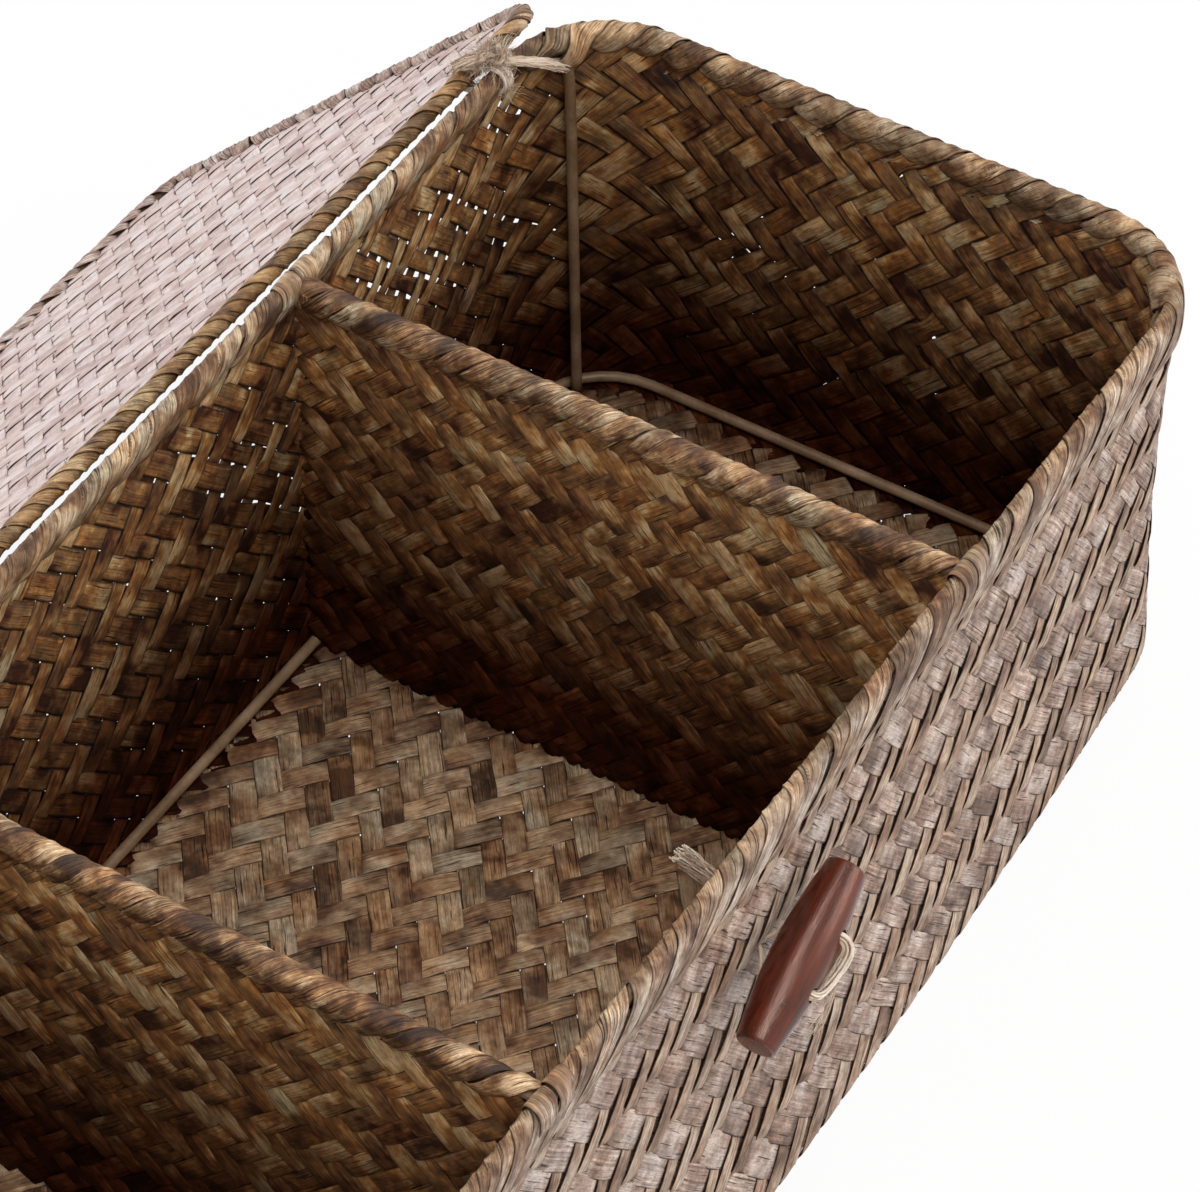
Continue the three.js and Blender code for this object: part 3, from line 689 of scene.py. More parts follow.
@dataclass
class Plait:
    """A two-over, two-under plait of strips that lie at an angle to s, in two families.

    A rising strip i follows n_a . place = a_i and a falling strip j follows n_b . place = b_j,
    with n_a = (-sin, cos) and n_b = (sin, cos) of the angle. Rising strips lie on top where
    (j + i) or (j - i) divided by 4 leaves 0 or 1. A pair of numbers is for the two families, or
    the lowest and highest of a range. Strips that lie on a sheet for less than least_held of their
    tries are left off it, and on a wall the waves flatten under the first number of the settling,
    down to the share that is its second.
    """

    pitch: float
    angle: float
    run: TwillRun
    seed: int
    shares: Pair
    waves: Pair
    thin: tuple[ThinSpot, ...] = ()
    leans: Pair = (-0.05, 0.05)
    # How strongly each family's edges are painted in shade.
    edgings: Pair = (1.0, 1.0)
    crown: float = 0.06
    shingle: float = 0.1
    loose: float = 0.04
    thickness: float = 0.36
    spread: float = 0.1
    widths: Pair = (0.72, 1.35)
    steps_per_crossing: float = 3.2
    narrowing: Pair = (0.18, 0.33)
    squeeze: float = 0.03
    tilts: Pair = (-0.05, 0.05)
    width_ripple: Ripple = Ripple(0.04, 37)
    sway_ripple: Ripple = Ripple(0.2, 46)
    height_ripple: Ripple = Ripple(0.05, 19)
    tilt_ripple: Ripple = Ripple(0.09, 24)
    tries: int = 1600
    least_held: int = 12
    settling: Pair = (14.0, 0.3)

    def __post_init__(self) -> None:
        """Sets the directions and the random source."""
        turn = math.radians(self.angle)
        self.rng = np.random.default_rng(self.seed)
        self.normals = (
            np.array([-math.sin(turn), math.cos(turn)]),
            np.array([math.sin(turn), math.cos(turn)]),
        )
        self.ways = (
            np.array([math.cos(turn), math.sin(turn)]),
            np.array([-math.cos(turn), math.sin(turn)]),
        )

    def uneven(self, count: int, start: float, span: float) -> Array:
        """Strip centres over a span: widths vary at random and are scaled to fill the span.

        Args:
            count: number of strips.
            start, span: where the span starts and its length.

        Returns:
            The centres.
        """
        widths = 1 + self.spread * self.rng.standard_normal(count)
        widths = np.clip(widths, *self.widths)
        widths *= span / widths.sum()
        return start + np.cumsum(widths) - widths / 2

    def bob(self, crossing: Array) -> Array:
        """Height of a rising strip in waves: a cosine of period 4 about 0.5, flattened by a tanh."""
        flatness = 2.1
        return np.tanh(flatness * np.cos(np.pi / 2 * (crossing - 0.5))) / math.tanh(flatness)

    def bundle(self, family: int, centres: Array, others: Array, first: Array, last: Array,
               numbers: Array, other_numbers: Array) -> Strips:
        """The strips of one family between two distances along each.

        Args:
            family: 0 for rising and 1 for falling strips.
            centres: each strip's own line.
            others: the lines of the crossing family, in order.
            first: where each strip starts along its own way.
            last: where it ends.
            numbers: each strip's number.
            other_numbers: the crossing strips' numbers.

        Returns:
            The strips.
        """
        longest = float((last - first).max())
        spacing = self.pitch / math.sin(2 * math.radians(self.angle))
        stations = int(longest / spacing * self.steps_per_crossing) + 2
        share = np.linspace(0, 1, stations)[None, :]
        along = first[:, None] + (last - first)[:, None] * share
        normal, way = self.normals[family], self.ways[family]
        # The way isn't square to the normal of the other family, but it is square to its own.
        base = normal * centres[:, None]
        s = base[:, :1] + way[0] * along
        t = base[:, 1:] + way[1] * along
        crossed = self.normals[1 - family]
        other = np.interp(s * crossed[0] + t * crossed[1], others, other_numbers)
        mine = np.broadcast_to(numbers[:, None], other.shape)
        rising, falling = (mine, other) if family == 0 else (other, mine)
        crossing = falling + self.run.value * rising
        count = len(centres)
        bob = self.bob(crossing) * (1 if family == 0 else -1)
        width = np.gradient(centres) if count > 2 else np.full(count, self.pitch)
        own = self.rng.uniform(1 - self.loose, 1 + self.loose, (count, 1))
        half = width[:, None] / 2 * self.shares[family] * own
        half = half * (1 + self.width_ripple.along(self.rng, along) + self.squeeze * bob)
        for spot in self.thin:
            weight = spot.weight(s, t, WallSheet().length)
            half = half * (1 - weight * self.rng.uniform(*self.narrowing, (count, 1)))
        sway = self.sway_ripple.along(self.rng, along)
        height = self.waves[family] * bob + self.height_ripple.along(self.rng, along)
        tilt = self.shingle + self.tilt_ripple.along(self.rng, along)
        tilt = tilt + self.rng.uniform(*self.tilts, (count, 1))
        return Strips(s + sway * normal[0], t + sway * normal[1], height, half, tilt,
                      self.thickness, self.crown, self.rng.random(count), bob,
                      self.leans[family], self.edgings[family])

    def on_sheet(self, name: str, sheet: FlatSheet) -> list[tuple[str, Strips]]:
        """Fills a flat sheet with both families of strips, cut at its outline.

        Args:
            name: what the bundles' names start with.
            sheet: the sheet.

        Returns:
            The two families, each with its name.
        """
        corners = np.array([(s, t) for s in (sheet.low[0], sheet.high[0])
                            for t in (sheet.low[1], sheet.high[1])])
        lines = []
        for normal in self.normals:
            reach = corners @ normal
            count = int(round(np.ptp(reach) / self.pitch)) + 1
            lines.append(self.uneven(count, reach.min() - self.pitch / 2, np.ptp(reach) + self.pitch))
        made = []
        for family, word in enumerate(("rising", "falling")):
            own, other = lines[family], lines[1 - family]
            normal, way = self.normals[family], self.ways[family]
            span = float(np.linalg.norm(np.ptp(corners, axis=0))) + np.abs(corners).max()
            tries = np.linspace(-span, span, self.tries)
            s = normal[0] * own[:, None] + way[0] * tries
            t = normal[1] * own[:, None] + way[1] * tries
            held = sheet.inside(s, t)
            kept = held.sum(1) > self.least_held
            first = tries[held[kept].argmax(1)]
            last = tries[len(tries) - 1 - held[kept][:, ::-1].argmax(1)]
            made.append((f"{name}_{word}", self.bundle(
                family, own[kept], other, first, last,
                np.arange(len(own))[kept], np.arange(len(other)))))
        return made

    def on_wall(self, name: str, wall: WallSheet, low: float, high: float) -> list[tuple[str, Strips]]:
        """Covers the walls with both families, running on round every corner.

        Args:
            name: what the bundles' names start with.
            wall: the band of walls.
            low, high: the heights that the strips run between.

        Returns:
            The two families, each with its name.
        """
        period = wall.length * math.sin(math.radians(self.angle))
        count = int(round(period / self.pitch))
        one = [self.uneven(count, 0, period) for _ in range(2)]
        numbers = np.arange(-count, 2 * count)
        lines = [np.concatenate([line - period, line, line + period]) for line in one]
        made = []
        for family, word in enumerate(("rising", "falling")):
            own = one[family]
            normal, way = self.normals[family], self.ways[family]
            ends = []
            for height in (low, high):
                along = np.zeros(count)
                for _ in range(4):
                    s = normal[0] * own + way[0] * along
                    along = (height / wall.stretch(s) - normal[1] * own) / way[1]
                ends.append(along)
            strips = self.bundle(family, own, lines[1 - family], *ends, np.arange(count), numbers)
            stretch = wall.stretch(strips.s)
            front = (stretch - 1) / (wall.front_stretch - 1)
            strips.t = strips.t * stretch
            wider = 1 + front * wall.front_widths[family]
            strips.half_width = strips.half_width * stretch / np.sqrt((1 + stretch**2) / 2) * wider
            strips.height = strips.height * np.clip(strips.t / self.settling[0], self.settling[1], 1)
            made.append((f"{name}_{word}", strips))
        return made


@dataclass
class Winding:
    """Strips that wrap over an edge at a slant, each lying a little over the next.

    The narrow start and the two sinking ends are shares of a strip's length. The other pairs of
    numbers are the lowest and highest of a range.
    """

    seed: int
    spacing: Callable[[Array], Array]
    slant: Callable[[Array], Array]
    outer_slant: Callable[[Array], Array]
    overlap: float = 1.12
    thickness: float = 0.35
    crown: float = 0.1
    lap: float = 0.2
    tuck: float = 0.9
    lift: float = 0.0
    stations: int = 44
    shift: Pair = (-0.16, 0.16)
    ragged: Pair = (0, 2.0)
    slants: Pair = (0.85, 1.15)
    widths: Pair = (0.88, 1.12)
    rise: Pair = (0, 0.14)
    laps: Pair = (0.5, 1.3)
    narrow_start: float = 0.12
    narrowing: float = 0.3
    sinking: float = 0.16
    width_ripple: Ripple = Ripple(0.06, 14)
    height_ripple: Ripple = Ripple(0.05, 11)
    tilt_ripple: Ripple = Ripple(0.05, 13)

    def on_edge(self, edge: EdgeRoll, start: float, end: float, closed: bool,
                trim: Pair = (0.0, 0.0)) -> Strips:
        """Lays the strips over an edge.

        s = start of the strip + slant x c, where c runs over the edge. On the outer side a cube of
        c is added, so the strips turn along the edge there. The ends sink by the tuck.

        Args:
            edge: the surface over the edge.
            start: first place along the edge.
            end: last place along it.
            closed: whether the edge meets itself.
            trim: how much shorter than the profile the strips are at each end.

        Returns:
            The strips.
        """
        rng = np.random.default_rng(self.seed)
        grid = np.linspace(start, end, 4000)
        passed = np.concatenate([[0], np.cumsum(np.diff(grid) / self.spacing(grid[1:]))])
        count = max(int(round(passed[-1])), 1)
        order = np.arange(count) + (0 if closed else 0.5) + rng.uniform(*self.shift, count)
        places = np.interp(order * passed[-1] / count, passed, grid)
        low, high = edge.limits
        first = low + trim[0] + rng.uniform(*self.ragged, (count, 1))
        last = high - trim[1] - rng.uniform(*self.ragged, (count, 1))
        share = np.linspace(0, 1, self.stations)[None, :]
        c = first + (last - first) * share
        slant = self.slant(places)[:, None] * rng.uniform(*self.slants, (count, 1))
        outer = self.outer_slant(places)[:, None]
        beyond = np.maximum(c, 0)
        s = places[:, None] + slant * c + outer * beyond**3 / (3 * high**2)
        steep = slant + outer * (beyond / high) ** 2
        if not closed:
            s = np.clip(s, start, end)
        half = self.spacing(places)[:, None] / np.sqrt(1 + steep**2) * self.overlap / 2
        half = half * rng.uniform(*self.widths, (count, 1)) * (1 + self.width_ripple.along(rng, c))
        half = half * (1 - self.narrowing * fade(share, self.narrow_start, 0))
        past = np.clip((share - (1 - self.sinking)) / self.sinking, 0, 1)
        sink = past**2 + fade(share, self.sinking, 0) ** 2
        height = self.lift + self.thickness / 2 - self.tuck * sink + self.height_ripple.along(rng, c)
        height = height + rng.uniform(*self.rise, (count, 1))
        tilt = self.lap * rng.uniform(*self.laps, (count, 1)) + self.tilt_ripple.along(rng, c)
        # Where the ends sink the relief drops, and there the finish paints shade.
        return Strips(s, c, height, half, tilt, self.thickness, self.crown, rng.random(count),
                      np.broadcast_to(1 - 1.3 * sink, s.shape))


# Round bars, cords and fibres


def smooth_path(corners: Sequence[Sequence[float]], count: int) -> Array:
    """A smooth path of even steps through a chain of points, whose corners are cut three times.

    Args:
        corners: the chain.
        count: number of points wanted.

    Returns:
        The path, shape (count, 3).
    """
    points = cut_corners(np.array(corners, float))
    arcs = arc_lengths(points)
    places = np.linspace(0, arcs[-1], count)
    return np.stack([np.interp(places, arcs, column) for column in points.T], -1)


def square_frames(paths: Array) -> tuple[Array, Array, Array]:
    """Directions along many paths and two square to each, carried on without twist.

    At each station the first square direction is the last one less its part along the path.

    Args:
        paths: shape (paths, stations, 3).

    Returns:
        Along, first and second square directions, each of the paths' shape.
    """
    along = unit(np.gradient(paths, axis=1))
    side = np.cross(along[:, 0], [0.31, 0.22, 0.93])
    sides = np.empty_like(paths)
    for station in range(paths.shape[1]):
        way = along[:, station]
        side = unit(side - way * (side * way).sum(-1, keepdims=True))
        sides[:, station] = side
    return along, sides, np.cross(along, sides)


@dataclass
class Bundle:
    """Round tubes gathered into one mesh, with their numbers."""

    points: list[Array] = field(default_factory=list)
    faces: list[Array] = field(default_factory=list)
    numbers: list[Array] = field(default_factory=list)
    size: int = 0

    def add(self, paths: Array, radius: float | Array, sides: int, tone: float = 0.0,
            closed: bool = False) -> None:
        """Adds tubes: each ring is the path's point + radius x (cos, sin) square to it.

        Args:
            paths: shape (paths, stations, 3).
            radius: one radius, or one per path and station.
            sides: points round each tube.
            tone: added to the tubes' random number.
            closed: whether each path meets itself, without its first point repeated.
        """
        count, stations, _ = paths.shape
        _, first, second = square_frames(paths)
        angle = np.linspace(0, 2 * np.pi, sides, endpoint=False)
        reach = np.broadcast_to(np.asarray(radius, float), (count, stations))[..., None, None]
        ring = np.cos(angle)[:, None] * first[:, :, None] + np.sin(angle)[:, None] * second[:, :, None]
        rings = paths[:, :, None] + reach * ring
        self.faces += [self.size + faces for faces in tube_faces(count, stations, sides, closed)]
        self.points.append(rings.reshape(-1, 3))
        steps = np.linalg.norm(np.diff(paths, axis=1), axis=-1)
        run = np.concatenate([np.zeros((count, 1)), np.cumsum(steps, 1)], 1)
        own = np.modf(np.arange(count) * 0.618 + tone)[0]
        shape = (count, stations, sides)
        self.numbers.append(np.stack([
            np.broadcast_to(run[..., None], shape).ravel(),
            np.broadcast_to(np.sin(angle), shape).ravel(),
            np.broadcast_to(own[:, None, None], shape).ravel(),
        ]))
        self.size += count * stations * sides

    def build(self, name: str) -> Mesh:
        """Makes the mesh.

        Args:
            name: the mesh's name.

        Returns:
            The mesh, with the numbers that the finishes read.
        """
        mesh = new_mesh(name, np.concatenate(self.points), self.faces)
        along, across, strip = np.concatenate(self.numbers, 1)
        add_numbers(mesh, {"along": along, "across": across, "strip": strip})
        return mesh


def flat_frame(path: Array, wide: Sequence[float]) -> tuple[Array, Array]:
    """Two directions square to a path, the first as near as can be to a wanted one.

    Args:
        path: the path.
        wide: the wanted direction.

    Returns:
        Both directions at each point.
    """
    along = unit(np.gradient(path, axis=0))
    wanted = np.array(wide, float)
    side = unit(wanted - along * (along @ wanted)[:, None])
    return side, np.cross(along, side)


@dataclass
class Twine:
    """Jute: plies wound about each other, loose bundles of fibres, and hairs.

    The lay is the length of one turn of the plies. Pairs are the lowest and highest of a range, as
    shares of the longest hair or of the fray's path, or for how far a hair turns away.
    """

    seed: int
    ply_radius: float = 0.56
    ply_offset: float = 0.5
    lay: float = 5.5
    ply_ripple: Ripple = Ripple(0.08, 7)
    hair_lengths: Pair = (0.3, 1.0)
    hair_turns: Pair = (0.2, 1.6)
    hair_bend: float = 0.5
    hair_root: float = 0.6
    hair_radius: float = 0.1
    hair_taper: float = 0.6
    strand_turn: float = 0.012
    strand_ripple: Ripple = Ripple(0.24, 23)
    fray_lengths: Pair = (0.72, 1.06)
    fray_flatness: float = 0.55
    fray_ripple: Ripple = Ripple(0.25, 9)
    fray_ripple_length: float = 20

    def __post_init__(self) -> None:
        """Sets the random source."""
        self.rng = np.random.default_rng(self.seed)

    def lay_plies(self, bundle: Bundle, path: Array) -> None:
        """Adds the plies along a path: point = path + offset x (cos, sin) of arc length over lay.

        Args:
            bundle: where they go.
            path: the cord's middle.
        """
        _, first, second = square_frames(path[None])
        arcs = arc_lengths(path)
        for turn in (0.0, np.pi):
            angle = (2 * np.pi * arcs / self.lay + turn)[:, None]
            ply = path + self.ply_offset * (np.cos(angle) * first[0] + np.sin(angle) * second[0])
            radius = self.ply_radius * (1 + self.ply_ripple.along(self.rng, arcs[None]))
            bundle.add(ply[None], radius, sides=8, tone=turn)

    def hairs(self, bundle: Bundle, path: Array, count: int, length: float, stand: float = 1.0) -> None:
        """Adds hairs that stand off a path: point = root + way x u + bend x u squared.

        Args:
            bundle: where they go.
            path: the cord's path.
            count: how many.
            length: the longest hair's length.
            stand: how far they turn away from the cord, from 0 to 1.
        """
        picks = self.rng.integers(2, len(path) - 2, count)
        along = unit(path[picks + 2] - path[picks - 2]) * self.rng.choice([-1, 1], (count, 1))
        out = unit(np.cross(along, self.rng.standard_normal((count, 3))))
        size = length * self.rng.uniform(*self.hair_lengths, (count, 1))
        way = unit(along + stand * self.rng.uniform(*self.hair_turns, (count, 1)) * out) * size
        bend = size * self.hair_bend * unit(self.rng.standard_normal((count, 3)))
        share = np.linspace(0, 1, 5)[None, :, None]
        root = path[picks] + out * (self.ply_offset + self.hair_root * self.ply_radius)
        hairs = root[:, None] + way[:, None] * share + bend[:, None] * share**2
        radius = self.hair_radius * (1 - self.hair_taper * share[..., 0]) * np.ones((count, 1))
        bundle.add(hairs, radius, sides=3)

    def in_round(self, count: int) -> tuple[Array, Array]:
        """Random places in a round of radius 1, as angles and distances."""
        angle = self.rng.uniform(0, 2 * np.pi, (count, 1))
        return angle, np.sqrt(self.rng.uniform(0, 1, (count, 1)))

    def strand(self, bundle: Bundle, path: Array, wide: Sequence[float], count: int,
               half_width: float, half_height: float, radius: float = 0.2) -> None:
        """Adds a flat bundle of fibres side by side along a path.

        Each fibre keeps its own place in an ellipse, which turns slowly along the way.

        Args:
            bundle: where they go.
            path: the bundle's middle.
            wide: the direction that it is wide in.
            count: how many fibres.
            half_width: half its width.
            half_height: half its thickness.
            radius: each fibre's own.
        """
        side, up = flat_frame(path, wide)
        stations = np.broadcast_to(np.arange(len(path), dtype=float), (count, len(path)))
        angle, reach = self.in_round(count)
        angle = angle + self.strand_turn * stations
        wander = self.strand_ripple.along(self.rng, stations)
        across = half_width * reach * np.cos(angle) + wander
        upward = half_height * reach * np.sin(angle) + 0.5 * wander
        bundle.add(path + across[..., None] * side + upward[..., None] * up, radius, sides=6)

    def frayed_end(self, bundle: Bundle, path: Array, way: Sequence[float], count: int, narrow: float,
                   wide: float, radius: float = 0.17) -> None:
        """Adds the untwisted fibres of a cut end, which fan out along a path.

        Each fibre runs at its own place in the cord's round, and that place grows from narrow to
        wide with the square of the way along, with a ripple of its own.

        Args:
            bundle: where they go.
            path: the tail's path.
            way: the direction that it fans out in.
            count: how many fibres.
            narrow: the bundle's radius at its start.
            wide: its radius at the tip.
            radius: each fibre's own.
        """
        side, up = flat_frame(path, way)
        stations = len(path)
        angle, reach = self.in_round(count)
        share = np.linspace(0, 1, stations)[None, :] * self.rng.uniform(*self.fray_lengths, (count, 1))
        place = np.clip(share, 0, 1) * (stations - 1)
        arcs = np.arange(stations)
        centre = np.stack([np.interp(place, arcs, column) for column in path.T], -1)
        spread = reach * (narrow + (wide - narrow) * share**2)
        wander = self.fray_ripple.along(self.rng, share * self.fray_ripple_length)
        across = spread * np.cos(angle) + wander
        upward = self.fray_flatness * spread * np.sin(angle) + 0.5 * wander
        bundle.add(centre + across[..., None] * side + upward[..., None] * up, radius, sides=4)


def knot_path(centre: Point, size: float, axes: Array, count: int) -> Array:
    """An overhand knot closed on itself, as a trefoil.

    Point = centre + size x (sin a + 2 sin 2a, cos a - 2 cos 2a, -1.1 sin 3a), on the given axes.

    Args:
        centre: its middle.
        size: a third of its half width.
        axes: three rows of directions.
        count: number of points.

    Returns:
        The path.
    """
    a = np.linspace(0, 2 * np.pi, count)
    shape = np.stack([np.sin(a) + 2 * np.sin(2 * a), np.cos(a) - 2 * np.cos(2 * a),
                      -1.1 * np.sin(3 * a)], -1)
    return np.array(centre) + size * shape @ axes


# Finishes


class Tint(Enum):
    """Colours that a finish's own colour is multiplied by."""

    GREY_VIOLET = (0.76, 0.92, 1.06)
    ORANGE = (1.08, 0.95, 0.8)
    FADED = (0.96, 0.89, 0.74)
    DARK_FIBRE = (0.42, 0.32, 0.25)
    PALE_FIBRE = (1.75, 1.62, 1.45)
    BLOTCH = (0.42, 0.33, 0.27)
    GRAIN = (0.5, 0.44, 0.38)
    CRACK = (0.14, 0.1, 0.07)
    SPECK = (0.15, 0.12, 0.1)
    # Painted shade along the strips' edges.
    EDGE = (0.24, 0.18, 0.15)
    # Painted shade where strips dive under one another.
    DIVE_SHADE = (0.22, 0.16, 0.12)
    DEEP_SHADE = (0.1, 0.025, 0.012)
    DULL_PAINT = (0.5, 0.45, 0.4)
    BROWN_JUTE = (0.9, 0.78, 0.62)
    PORE = (0.5, 0.38, 0.32)


class Nodes:
    """Lays out nodes in a tree and joins them."""

    def __init__(self, tree: bpy.types.NodeTree) -> None:
        """Starts with an empty tree."""
        self.tree = tree
        self.tree.nodes.clear()

    def add(self, kind: str, **settings: object) -> bpy.types.Node:
        """Adds a node and sets its properties.

        Args:
            kind: the node's type.
            settings: its properties.

        Returns:
            The node.
        """
        node = self.tree.nodes.new(kind)
        node.location = (-220 * (len(self.tree.nodes) % 9), -160 * (len(self.tree.nodes) // 9))
        for key, value in settings.items():
            setattr(node, key, value)
        return node

    def put(self, value: object, socket: Socket) -> None:
        """Joins a socket to an input, or sets a plain value on it.

        Args:
            value: a socket, a number or a colour.
            socket: the input.
        """
        if isinstance(value, Socket):
            self.tree.links.new(value, socket)
        elif isinstance(value, tuple) and len(value) == 3 and socket.type == "RGBA":
            socket.default_value = (*value, 1.0)
        else:
            socket.default_value = value

    def math(self, operation: str, first: object, second: object = 0.0, clamp: bool = False) -> Socket:
        """One operation on two values, held between 0 and 1 where clamp says so.

        Args:
            operation: the operation's name.
            first, second: the two values.
            clamp: whether it is held.

        Returns:
            The result.
        """
        node = self.add("ShaderNodeMath", operation=operation, use_clamp=clamp)
        self.put(first, node.inputs[0])
        self.put(second, node.inputs[1])
        return node.outputs[0]

    def times(self, first: object, second: object) -> Socket:
        """Two values multiplied."""
        return self.math("MULTIPLY", first, second)

    def plus(self, first: object, second: object, clamp: bool = False) -> Socket:
        """Two values added."""
        return self.math("ADD", first, second, clamp)

    def shuffled(self, value: object, factor: float) -> Socket:
        """Another random number of 0 to 1: the fraction of a multiple of the first."""
        return self.math("FRACT", self.times(value, factor))

    def scaled(self, value: object, low: float, high: float, to_low: float = 0.0,
               to_high: float = 1.0) -> Socket:
        """A value moved from one range into another, held at its ends.

        Args:
            value: the value.
            low, high: the range that it comes from.
            to_low, to_high: the range that it goes to.

        Returns:
            The new value.
        """
        node = self.add("ShaderNodeMapRange", clamp=True)
        for socket, number in zip(node.inputs, (value, low, high, to_low, to_high)):
            self.put(number, socket)
        return node.outputs[0]

    def vector(self, x: object, y: object, z: object) -> Socket:
        """Three values as one vector.

        Args:
            x, y, z: the values.

        Returns:
            The vector.
        """
        node = self.add("ShaderNodeCombineXYZ")
        for socket, value in zip(node.inputs, (x, y, z)):
            self.put(value, socket)
        return node.outputs[0]

    def noise(self, vector: object, scale: float, detail: float = 3.0, roughness: float = 0.55) -> Socket:
        """Cloudy noise of 0 to 1.

        Args:
            vector: the place that it is read at.
            scale: cells per unit.
            detail, roughness: how many finer layers it has, and how strong they are.

        Returns:
            The noise.
        """
        node = self.add("ShaderNodeTexNoise")
        self.put(vector, node.inputs["Vector"])
        node.inputs["Scale"].default_value = scale
        node.inputs["Detail"].default_value = detail
        node.inputs["Roughness"].default_value = roughness
        return node.outputs["Fac"]

    def ramp(self, value: object, stops: Sequence[tuple[float, Colour]]) -> Socket:
        """Colours along a value.

        Args:
            value: the value.
            stops: places along it, each with its colour.

        Returns:
            The colour.
        """
        node = self.add("ShaderNodeValToRGB")
        elements = node.color_ramp.elements
        while len(elements) < len(stops):
            elements.new(0.5)
        for element, (place, colour) in zip(elements, stops):
            element.position = place
            element.color = (*colour, 1.0)
        self.put(value, node.inputs[0])
        return node.outputs[0]

    def mix(self, factor: object, first: object, second: object, blend: str = "MIX") -> Socket:
        """Two colours blended.

        Args:
            factor: the second colour's share.
            first, second: the colours.
            blend: the kind of blend.

        Returns:
            The blend.
        """
        node = self.add("ShaderNodeMix", data_type="RGBA", blend_type=blend, clamp_factor=True)
        self.put(factor, node.inputs[0])
        self.put(first, node.inputs[6])
        self.put(second, node.inputs[7])
        return node.outputs[2]

    def tinted(self, colour: object, tint: Tint, factor: object) -> Socket:
        """A colour multiplied by a tint as far as the factor says."""
        return self.mix(factor, colour, self.mix(1.0, colour, tint.value, "MULTIPLY"))


class Finish(Nodes):
    """A new material, its shader, and the numbers that it reads from the mesh."""

    def __init__(self, name: str) -> None:
        """Starts the material with its shader and output.

        Args:
            name: the material's name.
        """
        self.material = bpy.data.materials.new(name)
        self.material.use_nodes = True
        super().__init__(self.material.node_tree)
        self.shader = self.add("ShaderNodeBsdfPrincipled")
        self.output = self.add("ShaderNodeOutputMaterial")
        self.put(self.shader.outputs["BSDF"], self.output.inputs["Surface"])

    def number(self, name: str) -> Socket:
        """A number stored on the mesh."""
        return self.add("ShaderNodeAttribute", attribute_name=name).outputs["Fac"]

    def bump(self, height: object, strength: float, depth: float) -> None:
        """Roughens the surface by a height, with its depth in millimetres.

        Args:
            height: the height.
            strength: how strongly it shows.
            depth: its depth in millimetres.
        """
        node = self.add("ShaderNodeBump")
        node.inputs["Strength"].default_value = strength
        node.inputs["Distance"].default_value = depth * MM
        self.put(height, node.inputs["Height"])
        self.put(node.outputs["Normal"], self.shader.inputs["Normal"])

    def shade(self, colour: object, roughness: object, gloss: object) -> Material:
        """Sets the shader's colour, roughness and gloss, and returns the material.

        Args:
            colour, roughness, gloss: what the shader shows.

        Returns:
            The material.
        """
        for name, value in (("Base Color", colour), ("Roughness", roughness),
                            ("Specular IOR Level", gloss)):
            self.put(value, self.shader.inputs[name])
        return self.material


